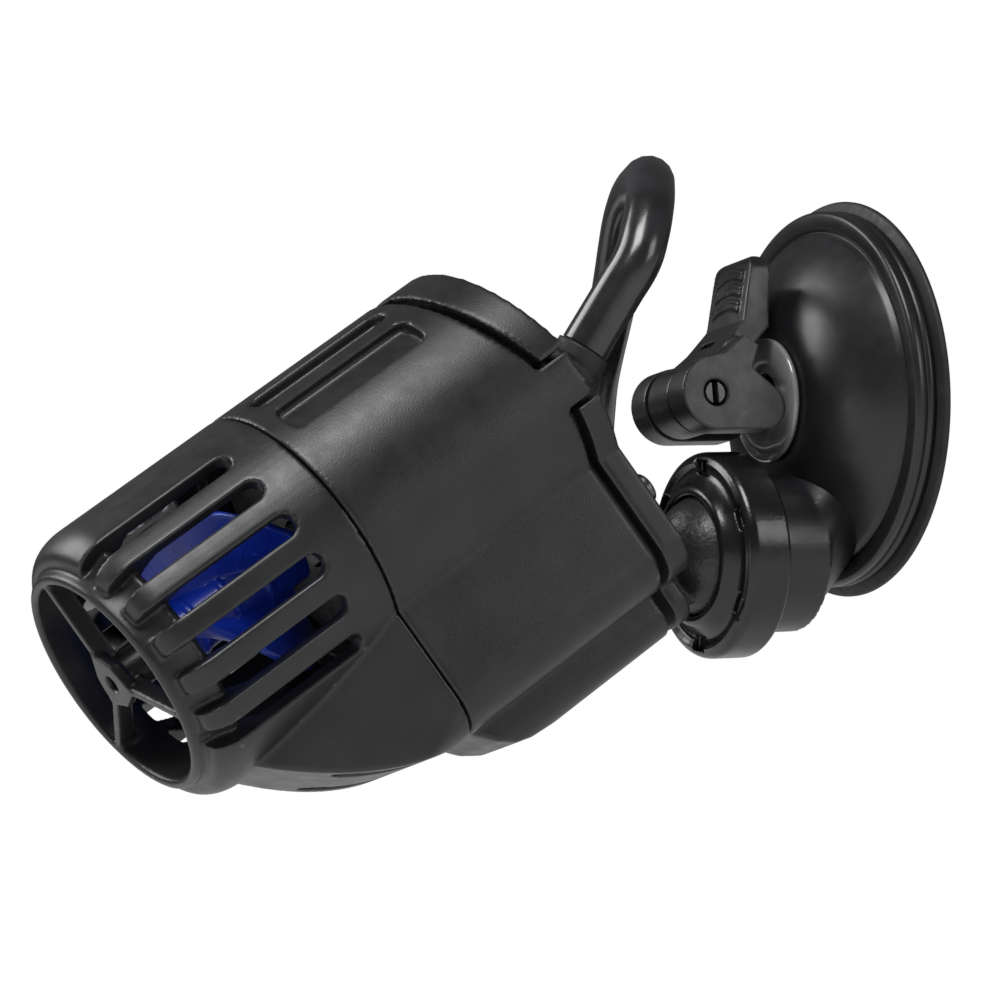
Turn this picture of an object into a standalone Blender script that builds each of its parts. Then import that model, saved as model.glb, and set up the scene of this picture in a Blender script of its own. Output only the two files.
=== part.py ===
"""Wave maker pump on a lever-locked suction mount.

Row frame: the origin is the centre of the suction face, the wall is the plane Y = 0,
the pump stands off towards -Y, and +Z is up. Lengths are in millimetres, and MM turns
them into metres. The pump has a frame of its own: X to its right-hand side, Y towards
its coil lobe, and Z from the outlet to the rear. The mount's frame has X across,
Y up and Z away from the wall.
"""

import math

import bmesh
import bpy
from mathutils import Matrix, Vector

MM = 0.001
GAP = 0.3
ROUND = 32
SMALL_ROUND = 16
SHARP = math.radians(32)
CLEAR = 60.0  # how far a cutter reaches past the pump

# Pump: body section and the stations along its axis, measured from the outlet's rim.
BODY_R = 21.7
FLAT_X = 16.0
LOBE_END = 35.2
LOBE_CORNER = 6.0
WALL = 2.2
SEAM = 35.0
REAR = 72.4
REAR_TOP = 65.6
CAP_GAP = 1.5
CAP_BACK = 78.0
CAP_BACK_TOP = 74.0
KEEL_END = 41.8
KEEL_HALF = 8.0
KEEL_START = 36.5
KEEL_FULL = 45.0

GROOVE_ANGLES = (-49.0, -70.0, -110.0, -131.0)
GROOVE_START = 38.5
GROOVE_END = 63.0

# Outlet, cage and its slots.
OUTLET_R = 18.0
OUTLET_BORE = 16.4
CAGE_WALL = 2.2
SHOULDER = 6.0
SLOT_END = 28.3
SLOT_HALF = 1.7
SLOT_FIRST = -49.5
SLOT_STEP = 18.5
SLOT_COUNT = 6
SPOKE_ANGLES = (-90.0, 30.0, 150.0)
HUB_R = 3.1
SPIGOT_R = 19.2
SPIGOT_END = 37.4

# Rotor line.
SHAFT_R = 0.8
BORE_R = SHAFT_R + GAP
BUSH_R = 2.0
HUB_FRONT = 9.5
HUB_REAR = 33.4
PROPELLER_HUB_R = 4.2
PROPELLER_R = 15.4
BLADE_COUNT = 3
BLADE_START = 11.0
BLADE_LENGTH = 20.0
BLADE_TWIST = 115.0
BLADE_THICK = 1.5
COLLAR_R = 3.4
MAGNET_R = 7.6
MAGNET_START = 42.0
MAGNET_END = 59.6
WELL_R = MAGNET_R + 0.7
WELL_WALL = 1.4
WELL_FLOOR = 61.9
BULKHEAD = 38.2
BULKHEAD_END = 41.0

# Stator.
CORE_FRONT = 44.4
CORE_BACK = 57.2
CORE_OUT = 13.2
CORE_IN = WELL_R + WELL_WALL + GAP
YOKE_TOP = 20.6
YOKE_END = 24.2
SPOOL_WALL = 1.0

# Ball joint and suction mount, as depths from the wall.
BALL_DEPTH = 25.0
BALL_DROP = 23.1
BALL_R = 9.5
BALL_STATION = 88.3
BALL_OFFSET = 37.4
NECK_HALF = 3.2
STUD_R = 2.2
PUMP_YAW = math.radians(-2.3)
PUMP_PITCH = math.radians(31.9)
PUMP_ROLL = math.radians(3.5)

DISC_R = 29.8
DISC_THICK = 1.6
SEAL_R = 22.0
DOME_EDGE_R = 24.9
DOME_EDGE_DEPTH = 5.2
DOME_TOP_R = 10.2
DOME_TOP_DEPTH = 13.4
STEM_R = 3.0
STEM_FOOT_R = 6.0
PIVOT_DEPTH = 27.2
EAR_R = 5.5
BARREL_HALF = 3.4
EAR_START = 3.7
EAR_WIDTH = 4.7
PIN_R = 1.7
PADDLE_HALF = 6.0
NUT_R = 15.3
NUT_BACK = 20.6
NUT_OPENING = 8.8
NUT_WINDOWS = 6
BOSS_R = 11.7
SOCKET_R = 10.0

# Lead: a round mains lead with its spare length wound into a tied coil.
LEAD_R = 3.6
RELIEF_TIP = (16.3, 0.3, 82.2)
RELIEF_AXIS = (0.3, -0.4, 0.866)
RELIEF_LENGTH = 20.0
LEAD_ROUTE = (
    (17.0, -43.0, 18.5),
    (14.0, -38.8, 26.5),
    (3.0, -32.5, 32.8),
    (-12.1, -28.0, 31.2),
    (-25.7, -24.5, 20.2),
    (-32.8, -25.0, 8.6),
    (-43.8, -22.2, -2.6),
)
LEAD_POINTS = 12
COIL_CENTRE = (-80.0, -51.5, -15.9)
COIL_TILT = math.radians(11.4)
COIL_MEAN_R = 36.0
COIL_HALF_WIDTH = 10.8
COIL_HALF_DEPTH = 7.2
TAIL_CENTRE = (2.8, 5.3)
TAIL_R = 30.0
TAIL_START = math.radians(33)
TAIL_TURN = math.radians(120)
TAIL_POINTS = 9
PLUG_LENGTH = 32.0

WALL_FRAME = Matrix.Rotation(math.radians(90), 4, "X")
BALL = Vector((0.0, -BALL_DEPTH, -BALL_DROP)) * MM
PUMP_TURN = (
    Matrix.Rotation(PUMP_YAW, 4, "Z")
    @ Matrix.Rotation(PUMP_PITCH, 4, "X")
    @ Matrix.Rotation(math.radians(-90), 4, "X")
    @ Matrix.Rotation(-PUMP_ROLL, 4, "Z")
)
PUMP_FRAME = (
    Matrix.Translation(BALL)
    @ PUMP_TURN
    @ Matrix.Translation(Vector((0.0, -BALL_OFFSET, -BALL_STATION)) * MM)
)
BOSS_FRAME = Matrix.Translation(Vector((0.0, 0.0, -BALL_DROP)) * MM) @ WALL_FRAME
PIVOT = Vector((0.0, -PIVOT_DEPTH, 0.0)) * MM
COIL_FRAME = Matrix.Translation(Vector(COIL_CENTRE) * MM) @ Matrix.Rotation(COIL_TILT, 4, "X")


def clear_scene():
    for obj in list(bpy.data.objects):
        bpy.data.objects.remove(obj, do_unlink=True)


def new_collection(name, hidden=False):
    collection = bpy.data.collections.new(name)
    bpy.context.scene.collection.children.link(collection)
    collection.hide_render = hidden
    return collection


clear_scene()
PARTS = new_collection("wave_maker_pump")
CUTTERS = new_collection("cutters", hidden=True)


def shift(x=0.0, y=0.0, z=0.0):
    """A move in millimetres."""
    return Matrix.Translation(Vector((x, y, z)) * MM)


def polar(radius, degrees):
    """A point in a section plane: 0 degrees is +X and 90 degrees is +Y."""
    angle = math.radians(degrees)
    return (radius * math.cos(angle), radius * math.sin(angle))


def arc(centre, radius, start, end, steps):
    """Points of an arc from start to end degrees, both ends included."""
    angles = [start + (end - start) * i / steps for i in range(steps + 1)]
    return [(centre[0] + polar(radius, a)[0], centre[1] + polar(radius, a)[1]) for a in angles]


def add(name, mesh, frame, collection=None):
    obj = bpy.data.objects.new(name, mesh)
    (collection or PARTS).objects.link(obj)
    obj.matrix_world = frame
    if collection is CUTTERS:
        obj.hide_render = True
        obj.display_type = "WIRE"
    return obj


def mesh_of(builder):
    """A mesh made in millimetres by a bmesh builder."""
    mesh = bpy.data.meshes.new("mesh")
    work = bmesh.new()
    builder(work)
    bmesh.ops.scale(work, vec=(MM, MM, MM), verts=work.verts)
    bmesh.ops.recalc_face_normals(work, faces=work.faces)
    work.to_mesh(mesh)
    work.free()
    return mesh


def cylinder(name, radius, start, end, frame, collection=None, sides=SMALL_ROUND, end_radius=None):
    """A cylinder or cone along the frame's Z axis."""
    top = radius if end_radius is None else end_radius
    move = Matrix.Translation((0, 0, (start + end) / 2))

    def build(work):
        bmesh.ops.create_cone(
            work, cap_ends=True, segments=sides, radius1=radius, radius2=top, depth=end - start, matrix=move
        )

    return add(name, mesh_of(build), frame, collection)


def box(name, low, high, frame, collection=None):
    size = [b - a for a, b in zip(low, high)]
    middle = [(a + b) / 2 for a, b in zip(low, high)]
    place = Matrix.Translation(middle) @ Matrix.Diagonal((*size, 1))

    def build(work):
        bmesh.ops.create_cube(work, size=1, matrix=place)

    return add(name, mesh_of(build), frame, collection)


def turned(name, profile, frame, collection=None, sides=ROUND):
    """A turned solid about Z. The (radius, height) profile runs down its outer side."""
    points = [(radius * MM, 0.0, height * MM) for radius, height in profile]
    count = len(points)
    edges = [(i, i + 1) for i in range(count - 1)]
    if profile[0][0] > 0:
        edges.append((count - 1, 0))
    mesh = bpy.data.meshes.new(name)
    mesh.from_pydata(points, edges, [])
    obj = add(name, mesh, frame, collection)
    screw = obj.modifiers.new("Turn", "SCREW")
    screw.steps = sides
    screw.render_steps = sides
    screw.use_merge_vertices = True
    screw.merge_threshold = MM / 100
    return obj


def extruded(name, outlines, start, end, frame, collection=None):
    """Flat outlines in XY, the first one outside and the rest holes, extruded along Z."""
    curve = bpy.data.curves.new(name, "CURVE")
    curve.dimensions = "2D"
    curve.fill_mode = "BOTH"
    curve.extrude = (end - start) / 2 * MM
    for outline in outlines:
        spline = curve.splines.new("POLY")
        spline.points.add(len(outline) - 1)
        for point, (x, y) in zip(spline.points, outline):
            point.co = (x * MM, y * MM, 0.0, 1.0)
        spline.use_cyclic_u = True
    flat = bpy.data.objects.new(name + "_outline", curve)
    CUTTERS.objects.link(flat)
    bpy.context.view_layer.update()
    mesh = bpy.data.meshes.new_from_object(flat.evaluated_get(bpy.context.evaluated_depsgraph_get()))
    bpy.data.objects.remove(flat, do_unlink=True)
    work = bmesh.new()
    work.from_mesh(mesh)
    bmesh.ops.remove_doubles(work, verts=work.verts, dist=MM / 1000)
    bmesh.ops.recalc_face_normals(work, faces=work.faces)
    work.to_mesh(mesh)
    work.free()
    return add(name, mesh, frame @ shift(z=(start + end) / 2), collection)


def hull(name, points, frame, collection=None):
    """The convex solid around some points."""

    def build(work):
        for point in points:
            work.verts.new(point)
        found = bmesh.ops.convex_hull(work, input=work.verts)
        spare = [v for v in found["geom_interior"] if isinstance(v, bmesh.types.BMVert)]
        bmesh.ops.delete(work, geom=spare, context="VERTS")

    return add(name, mesh_of(build), frame, collection)


def tube(name, points, radius, frame, sides=2):
    """A tube along points in millimetres, with flat ends."""
    curve = bpy.data.curves.new(name, "CURVE")
    curve.dimensions = "3D"
    curve.bevel_depth = radius * MM
    curve.bevel_resolution = sides
    curve.use_fill_caps = True
    spline = curve.splines.new("POLY")
    spline.points.add(len(points) - 1)
    for target, point in zip(spline.points, points):
        target.co = (*(Vector(point) * MM), 1.0)
    obj = bpy.data.objects.new(name, curve)
    PARTS.objects.link(obj)
    obj.matrix_world = frame
    return obj


def combine(target, other, operation):
    step = target.modifiers.new(operation.title(), "BOOLEAN")
    step.operation = operation
    step.solver = "EXACT"
    step.object = other


def join(target, *others):
    for other in others:
        combine(target, other, "UNION")


def cut(target, *others):
    for other in others:
        combine(target, other, "DIFFERENCE")


def keep(target, *others):
    for other in others:
        combine(target, other, "INTERSECT")


def baked(obj, collection=None):
    """The object with its modifiers worked out, as a plain mesh."""
    bpy.context.view_layer.update()
    graph = bpy.context.evaluated_depsgraph_get()
    mesh = bpy.data.meshes.new_from_object(obj.evaluated_get(graph))
    name = obj.name
    place = obj.matrix_world.copy()
    bpy.data.objects.remove(obj, do_unlink=True)
    return add(name, mesh, place, collection)


def gathered(name, pieces):
    """Cutters that don't touch each other, as one cutter."""
    work = bmesh.new()
    for piece in pieces:
        mesh = piece.data
        mesh.transform(piece.matrix_world)
        work.from_mesh(mesh)
        bpy.data.objects.remove(piece, do_unlink=True)
    whole = bpy.data.meshes.new(name)
    work.to_mesh(whole)
    work.free()
    return add(name, whole, Matrix.Identity(4), CUTTERS)


def finish(obj, material, smooth=True):
    obj.data.materials.clear()
    obj.data.materials.append(material)
    if smooth and obj.type == "MESH" and obj.data.polygons:
        obj.data.shade_smooth()
        obj.data.set_sharp_from_angle(angle=SHARP)
    return obj


def material(name, colour, roughness, metallic=0.0):
    made = bpy.data.materials.new(name)
    made.use_nodes = True
    shader = made.node_tree.nodes["Principled BSDF"]
    shader.inputs["Base Color"].default_value = (*colour, 1.0)
    shader.inputs["Roughness"].default_value = roughness
    shader.inputs["Metallic"].default_value = metallic
    made.diffuse_color = (*colour, 1.0)
    return made


SATIN_BLACK = material("satin_black", (0.022, 0.022, 0.024), 0.42)
GLOSS_BLACK = material("gloss_black", (0.016, 0.016, 0.017), 0.25)
BLUE = material("blue_plastic", (0.010, 0.045, 0.42), 0.35)
RUBBER = material("black_rubber", (0.014, 0.014, 0.014), 0.55)
GREY = material("grey_plastic", (0.55, 0.55, 0.56), 0.30)
FERRITE = material("ferrite", (0.05, 0.05, 0.055), 0.50, 0.3)
STEEL = material("steel", (0.60, 0.61, 0.63), 0.28, 1.0)
CORE_STEEL = material("core_steel", (0.28, 0.28, 0.30), 0.45, 0.9)
COPPER = material("copper_winding", (0.62, 0.26, 0.12), 0.35, 0.9)
WHITE = material("white_plastic", (0.80, 0.80, 0.78), 0.45)
RESIN = material("resin", (0.03, 0.03, 0.035), 0.30)
CERAMIC = material("ceramic", (0.88, 0.88, 0.86), 0.25)
BRASS = material("brass", (0.78, 0.57, 0.28), 0.25, 1.0)


# Sections of the pump's body


def body_outline(inset=0.0, arc_steps=24, corner_steps=5):
    """The pump's section: a round body with a flat-sided lobe towards +Y."""
    radius = BODY_R - inset
    side = FLAT_X - inset
    end = LOBE_END - inset
    corner = max(LOBE_CORNER - inset, 1.0)
    crease = math.degrees(math.acos(side / radius))
    body = arc((0, 0), radius, crease, -180 - crease, arc_steps)
    left = arc((corner - side, end - corner), corner, 180, 90, corner_steps)
    right = arc((side - corner, end - corner), corner, 90, 0, corner_steps)
    return body + left + right


def slanted(top, bottom, bend=2.0):
    """Side-view outline (station, offset) of everything behind a rear edge that leans forward at the top."""
    lean = (bottom - top) / (BODY_R + bend)
    outer_top = top - (CLEAR - BODY_R) * lean
    return [(outer_top, -CLEAR), (bottom, bend), (bottom, CLEAR), (2 * CLEAR, CLEAR), (2 * CLEAR, -CLEAR)]


SIDE_VIEW = Matrix(((0, 0, 1, 0), (0, 1, 0, 0), (-1, 0, 0, 0), (0, 0, 0, 1)))
PLAN_VIEW = Matrix(((0, -1, 0, 0), (0, 0, 1, 0), (-1, 0, 0, 0), (0, 0, 0, 1)))


def side_cutter(name, outline):
    """A solid from a side-view outline of (station, offset) points, right across the pump's X."""
    flipped = [(-station, offset) for station, offset in outline]
    return extruded(name, [flipped], -CLEAR, CLEAR, PUMP_FRAME @ SIDE_VIEW, CUTTERS)


# Cage


def lobe_profile(inset=0.0):
    """Side view of the cage's lobe: its underside falls away in a parabola towards the outlet."""
    drop = 15.0
    run = 28.5
    full = SEAM + 1.0
    steps = 9
    under = []
    for i in range(steps + 1):
        station = full - run * i / steps
        under.append((station, LOBE_END + 0.2 - drop * (i / steps) ** 2 - inset))
    return [(full, 0.0)] + under + [(full - run, 0.0)]


def lobe_plan(inset=0.0):
    """Top view of the cage's lobe: its sides draw in towards the outlet."""
    front = SHOULDER + 1.0
    narrow = 7.4 - inset
    wide = FLAT_X + 0.4 - inset
    return [(SEAM + 1.0, wide), (SEAM + 1.0, -wide), (front, -narrow), (front, narrow)]


def cage_lobe(name, inset, start, end):
    lobe = extruded(name, [body_outline(inset)], start, end, PUMP_FRAME, CUTTERS)
    side = side_cutter(name + "_side", lobe_profile(inset))
    plan_points = [(-station, x) for station, x in lobe_plan(inset)]
    plan = extruded(name + "_plan", [plan_points], 2.0, 60.0, PUMP_FRAME @ PLAN_VIEW, CUTTERS)
    keep(lobe, side, plan)
    return baked(lobe, collection=CUTTERS)


def slot_cutter(angle):
    """A slot with a round end, cut outwards along X from the axis and turned to its angle."""
    front = -4.0
    back = SLOT_END - SLOT_HALF
    outline = [(-front, -SLOT_HALF)] + arc((-back, 0), SLOT_HALF, -90, -270, 8) + [(-front, SLOT_HALF)]
    turn = Matrix.Rotation(math.radians(angle), 4, "Z") @ SIDE_VIEW
    return extruded("slot", [outline], BODY_R - 6.5, BODY_R + 3, PUMP_FRAME @ turn, CUTTERS)


def cage_wall():
    """The cage's round body, whose front rolls over into a round shoulder, before it is bored."""
    nose = [(19.0 + 2.7 * math.sin(a), 1.8 + (SHOULDER + 1.0 - 1.8) * (1 - math.cos(a)))
            for a in [math.radians(90 - 22.5 * i) for i in range(5)]]
    profile = [(0.0, SEAM - GAP / 2), (BODY_R, SEAM - GAP / 2)] + nose + [(0.0, 1.8)]
    return turned("front_cage", profile, PUMP_FRAME)


def cage_bore():
    inner = BODY_R - CAGE_WALL
    profile = [(0.0, SEAM + 1), (inner, SEAM + 1), (inner, 10.5), (17.5, 8.0), (17.5, 0.0), (0.0, 0.0)]
    return turned("cage_bore", profile, PUMP_FRAME, CUTTERS)


def outlet_tube():
    """The outlet ring, which flares back into the ribs behind a concave shoulder."""
    profile = [
        (19.4, 6.2), (18.7, 4.2), (18.1, 2.2), (OUTLET_R, 0.5), (OUTLET_R - 0.5, 0.0),
        (OUTLET_BORE + 0.3, 0.0), (OUTLET_BORE, 0.4), (OUTLET_BORE, 4.0), (17.0, 7.4), (18.6, 7.4),
    ]
    return turned("outlet_tube", profile, PUMP_FRAME, CUTTERS)


def cage_spigot():
    """The ring behind the seam that pushes into the housing's mouth."""
    profile = [
        (SPIGOT_R, SPIGOT_END), (SPIGOT_R, 34.3), (BODY_R - 1.1, 34.3), (BODY_R - 1.1, 32.6),
        (17.6, 32.6), (17.6, SPIGOT_END),
    ]
    return turned("cage_spigot", profile, PUMP_FRAME, CUTTERS)


def grille():
    """Three thin spokes and a lobed hub plate that carries the front bush."""
    hub = cylinder("grille_hub", HUB_R, 0.0, 6.4, PUMP_FRAME, CUTTERS)
    outline = []
    for index in range(12):
        radius = 5.2 if index % 4 == 0 else 3.9
        outline.append(polar(radius, SPOKE_ANGLES[0] + 30 * index))
    plate = extruded("grille_plate", [outline], 0.0, 1.6, PUMP_FRAME, CUTTERS)
    join(hub, plate)
    for index, angle in enumerate(SPOKE_ANGLES):
        turn = PUMP_FRAME @ Matrix.Rotation(math.radians(angle), 4, "Z")
        join(hub, box(f"spoke_{index}", (2.0, -0.65, 0.25), (17.1, 0.65, 3.2), turn, CUTTERS))
    cut(
        hub,
        cylinder("hub_hole", 1.3, -1.0, 8.0, PUMP_FRAME, CUTTERS),
        cylinder("bush_pocket", BUSH_R + GAP, 2.4, 8.0, PUMP_FRAME, CUTTERS),
    )
    return baked(hub, collection=CUTTERS)


def lobe_holes():
    """Long oval holes under the cage's lobe, one to each side."""
    holes = []
    for side in (-1, 1):
        outline = arc((-26.0, 8.4 * side), 1.7, 90, 270, 8) + arc((-18.0, 7.2 * side), 1.7, -90, 90, 8)
        holes.append(extruded("lobe_hole", [outline], 24.0, 40.0, PUMP_FRAME @ PLAN_VIEW, CUTTERS))
    return holes


def front_cage():
    cage = cage_wall()
    join(cage, cage_lobe("lobe", 0.0, SHOULDER, SEAM - GAP / 2))
    cut(cage, cage_lobe("lobe_hollow", CAGE_WALL, SHOULDER + 5, SEAM), cage_bore())
    angles = [SLOT_FIRST + SLOT_STEP * index for index in range(SLOT_COUNT)]
    slots = [slot_cutter(angle) for angle in angles] + [slot_cutter(180 - angle) for angle in angles]
    cut(cage, gathered("slots", slots), gathered("lobe_holes", lobe_holes()))
    outlet = outlet_tube()
    join(outlet, grille())
    join(cage, baked(outlet, collection=CUTTERS), cage_spigot())
    return finish(baked(cage), SATIN_BLACK)


# Rotor line


def ring(name, outer, inner, start, end, frame, made_of, sides=SMALL_ROUND):
    profile = [(outer, end), (outer, start), (inner, start), (inner, end)]
    return finish(turned(name, profile, frame, sides=sides), made_of)


def blade(index):
    """One long screw-shaped blade, as a band swept round the hub while it moves back."""
    steps = 8
    inner = PROPELLER_HUB_R - 1.2
    pitch = math.radians(BLADE_TWIST) / BLADE_LENGTH

    def build(work):
        rows = []
        for i in range(steps + 1):
            part = i / steps
            tip = PROPELLER_R * (0.86 + 0.14 * math.sin(math.pi * part))
            angle = BLADE_TWIST * part + 360 / BLADE_COUNT * index
            station = BLADE_START + BLADE_LENGTH * part
            corners = []
            for radius, half in ((inner, BLADE_THICK / 2), (tip, BLADE_THICK / 3)):
                centre = Vector((*polar(radius, angle), station))
                across = Vector((*polar(1.0, angle + 90), -radius * pitch)).normalized()
                corners += [centre - across * half, centre + across * half]
            rows.append([work.verts.new(corners[k]) for k in (0, 1, 3, 2)])
        for low, high in zip(rows, rows[1:]):
            for k in range(4):
                work.faces.new((low[k], low[(k + 1) % 4], high[(k + 1) % 4], high[k]))
        work.faces.new(rows[0])
        work.faces.new(rows[-1])

    return add(f"blade_{index}", mesh_of(build), PUMP_FRAME, CUTTERS)


def propeller():
    profile = [
        (PROPELLER_HUB_R, HUB_REAR), (PROPELLER_HUB_R, HUB_FRONT + 2.0), (PROPELLER_HUB_R - 1.2, HUB_FRONT),
        (BORE_R, HUB_FRONT), (BORE_R, HUB_REAR),
    ]
    hub = turned("propeller", profile, PUMP_FRAME)
    for index in range(BLADE_COUNT):
        join(hub, blade(index))
    return finish(baked(hub), BLUE)


def rotor_line():
    shaft = cylinder("rotor_shaft", SHAFT_R, 3.4, WELL_FLOOR - GAP, PUMP_FRAME, sides=12)
    finish(shaft, CERAMIC)
    ring("cage_bush", BUSH_R, BORE_R, 2.7, 6.2, PUMP_FRAME, RUBBER)
    ring("propeller_cap", 2.6, BORE_R, HUB_FRONT - 2.0, HUB_FRONT - GAP, PUMP_FRAME, BLUE)
    propeller()
    ring("drive_collar", COLLAR_R, BORE_R, HUB_REAR + GAP, MAGNET_START - GAP, PUMP_FRAME, WHITE)
    ring("rotor_magnet", MAGNET_R, BORE_R, MAGNET_START, MAGNET_END, PUMP_FRAME, FERRITE, ROUND)
    ring("rear_bush", WELL_R - GAP, BORE_R, MAGNET_END + GAP, WELL_FLOOR - GAP, PUMP_FRAME, RUBBER, ROUND)
    ring("well_cover", SPIGOT_R - 2.0, COLLAR_R + 0.6, SEAM + 0.8, SPIGOT_END - GAP, PUMP_FRAME, SATIN_BLACK, ROUND)
    ring("well_seal", 15.0, 10.5, SPIGOT_END, BULKHEAD - GAP, PUMP_FRAME, RUBBER, ROUND)


# Housing


def keel_profile():
    return [
        (KEEL_START, 28.0), (KEEL_START, LOBE_END), (39.5, 38.6), (42.0, 40.4), (KEEL_FULL, 41.3),
        (50.0, KEEL_END), (2 * CLEAR, KEEL_END), (2 * CLEAR, 28.0),
    ]


def keel_section():
    """The keel's section, with rounded lower corners."""
    corner = 4.0
    return (
        [(-KEEL_HALF, 26.0)]
        + arc((corner - KEEL_HALF, KEEL_END - corner), corner, 180, 90, 5)
        + arc((KEEL_HALF - corner, KEEL_END - corner), corner, 90, 0, 5)
        + [(KEEL_HALF, 26.0)]
    )


def keel(name, start, end):
    made = extruded(name, [keel_section()], start, end, PUMP_FRAME, CUTTERS)
    keep(made, side_cutter(name + "_side", keel_profile()))
    return baked(made, collection=CUTTERS)


def groove(angle, start, end):
    """A long shallow pocket with round ends in the housing's back."""
    half = 2.3
    outline = arc((-end + half, 0), half, 90, 270, 6) + arc((-start - half, 0), half, -90, 90, 6)
    turn = Matrix.Rotation(math.radians(angle), 4, "Z") @ SIDE_VIEW
    return extruded("groove", [outline], BODY_R - 1.5, BODY_R + 4, PUMP_FRAME @ turn, CUTTERS)


def sector(name, inner, outer, start, end, low, high):
    """A piece of a round wall between two angles, from station low to high."""
    outline = arc((0, 0), outer, start, end, 6) + arc((0, 0), inner, end, start, 6)
    return extruded(name, [outline], low, high, PUMP_FRAME, CUTTERS)


def motor_housing():
    housing = extruded("motor_housing", [body_outline()], SEAM + GAP / 2, REAR + 1, PUMP_FRAME, CUTTERS)
    hollow = extruded("housing_hollow", [body_outline(WALL)], BULKHEAD_END, REAR + 9, PUMP_FRAME, CUTTERS)
    mouth = cylinder("housing_mouth", SPIGOT_R + GAP, SEAM - 1, BULKHEAD, PUMP_FRAME, CUTTERS, ROUND)
    join(housing, keel("housing_keel", SEAM + 1, REAR + 1))
    cut(housing, hollow, mouth)
    cut(housing, side_cutter("housing_rear", slanted(REAR_TOP, REAR)))
    join(housing, cylinder("well", WELL_R + WELL_WALL, BULKHEAD, WELL_FLOOR + WELL_WALL, PUMP_FRAME, CUTTERS, ROUND))
    cut(housing, cylinder("well_bore", WELL_R, SEAM, WELL_FLOOR, PUMP_FRAME, CUTTERS, ROUND))
    cut(housing, gathered("grooves", [groove(angle, GROOVE_START, GROOVE_END) for angle in GROOVE_ANGLES]))
    join(housing, sector("tab", BODY_R - WALL, BODY_R, -3.5, 16, 69.0, 77.0))
    return finish(baked(housing, collection=PARTS), SATIN_BLACK)


def stator():
    outline = [
        (-CORE_OUT, -8.0), (-CORE_IN, -8.0), (-CORE_IN, YOKE_TOP), (CORE_IN, YOKE_TOP),
        (CORE_IN, -8.0), (CORE_OUT, -8.0), (CORE_OUT, YOKE_END), (-CORE_OUT, YOKE_END),
    ]
    finish(extruded("stator_core", [outline], CORE_FRONT, CORE_BACK, PUMP_FRAME), CORE_STEEL, smooth=False)
    spool_half = CORE_IN - GAP
    top = YOKE_TOP - GAP
    end = YOKE_END + GAP
    front = CORE_FRONT - GAP
    back = CORE_BACK + GAP
    spool = box(
        "coil_spool", (-spool_half, top - SPOOL_WALL, front - SPOOL_WALL),
        (spool_half, end + SPOOL_WALL, back + SPOOL_WALL), PUMP_FRAME,
    )
    for side in (-1, 1):
        edge = sorted((side * spool_half, side * (spool_half - 1.0)))
        flange = box("spool_flange", (edge[0], 12.6, 41.3), (edge[1], 31.6, 60.3), PUMP_FRAME, CUTTERS)
        join(spool, flange)
    cut(spool, box("spool_hole", (-20, top, front), (20, end, back), PUMP_FRAME, CUTTERS))
    finish(baked(spool), WHITE, smooth=False)
    half = spool_half - 1.0 - GAP
    winding = box("coil_winding", (-half, 13.0, 41.7), (half, 31.2, 59.9), PUMP_FRAME)
    inner = GAP + SPOOL_WALL
    hole = box("winding_hole", (-20, top - inner, front - inner), (20, end + inner, back + inner), PUMP_FRAME, CUTTERS)
    cut(winding, hole)
    finish(baked(winding), COPPER, smooth=False)


def potting():
    """The resin plate that seals the housing behind the stator."""
    plate = extruded("potting_plate", [body_outline(WALL + GAP)], 60.7, 62.2, PUMP_FRAME)
    cut(plate, cylinder("well_clear", WELL_R + WELL_WALL + GAP, 60, 70, PUMP_FRAME, CUTTERS, ROUND))
    finish(baked(plate), RESIN, smooth=False)


def relief_frame():
    """The strain relief's frame: its tip at the origin and its axis along Z."""
    turn = Vector(RELIEF_AXIS).to_track_quat("Z", "X").to_matrix().to_4x4()
    return PUMP_FRAME @ shift(*RELIEF_TIP) @ turn


def rear_cap():
    cap = extruded("rear_cap", [body_outline()], 60.0, CAP_BACK, PUMP_FRAME, CUTTERS)
    join(cap, keel("cap_keel", REAR - 2, CAP_BACK - 1.2))
    cut(cap, side_cutter("cap_back", slanted(CAP_BACK_TOP, CAP_BACK)))
    front = slanted(REAR_TOP + CAP_GAP, REAR + CAP_GAP)
    keep(cap, side_cutter("cap_front", front))
    plug = extruded("cap_spigot", [body_outline(WALL + GAP), body_outline(WALL + 2.0)], 64.4, 76.0, PUMP_FRAME, CUTTERS)
    cut(plug, side_cutter("spigot_back", slanted(REAR_TOP + CAP_GAP + 2, REAR + CAP_GAP + 2)))
    join(cap, baked(plug, collection=CUTTERS))
    notch = sector("cap_notch", BODY_R - 4.0, BODY_R + 2, -5.5, 18, 60.0, 90.0)
    lead_hole = cylinder("lead_hole", LEAD_R + 1.5, -24, 4, relief_frame(), CUTTERS)
    stud_hole = cylinder("stud_hole", STUD_R + GAP, 70, 90, PUMP_FRAME @ shift(y=BALL_OFFSET), CUTTERS)
    cut(cap, notch, lead_hole, stud_hole)
    return finish(baked(cap, collection=PARTS), SATIN_BLACK)


def cap_screws():
    for name, x in (("cap_screw_left", -12.0), ("cap_screw_right", 12.0)):
        place = PUMP_FRAME @ shift(x, 22.0)
        finish(cylinder(name, 2.4, CAP_BACK + GAP, CAP_BACK + 1.7, place, sides=16), STEEL)


def strain_relief():
    """A tapered sleeve: its root is held inside the housing and its tip stands out of the cap."""
    sleeve = cylinder(
        "strain_relief", LEAD_R + 1.1, -RELIEF_LENGTH - GAP, -GAP, relief_frame(), end_radius=LEAD_R + 0.4
    )
    finish(sleeve, RUBBER)


# Ball joint and suction mount


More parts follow.
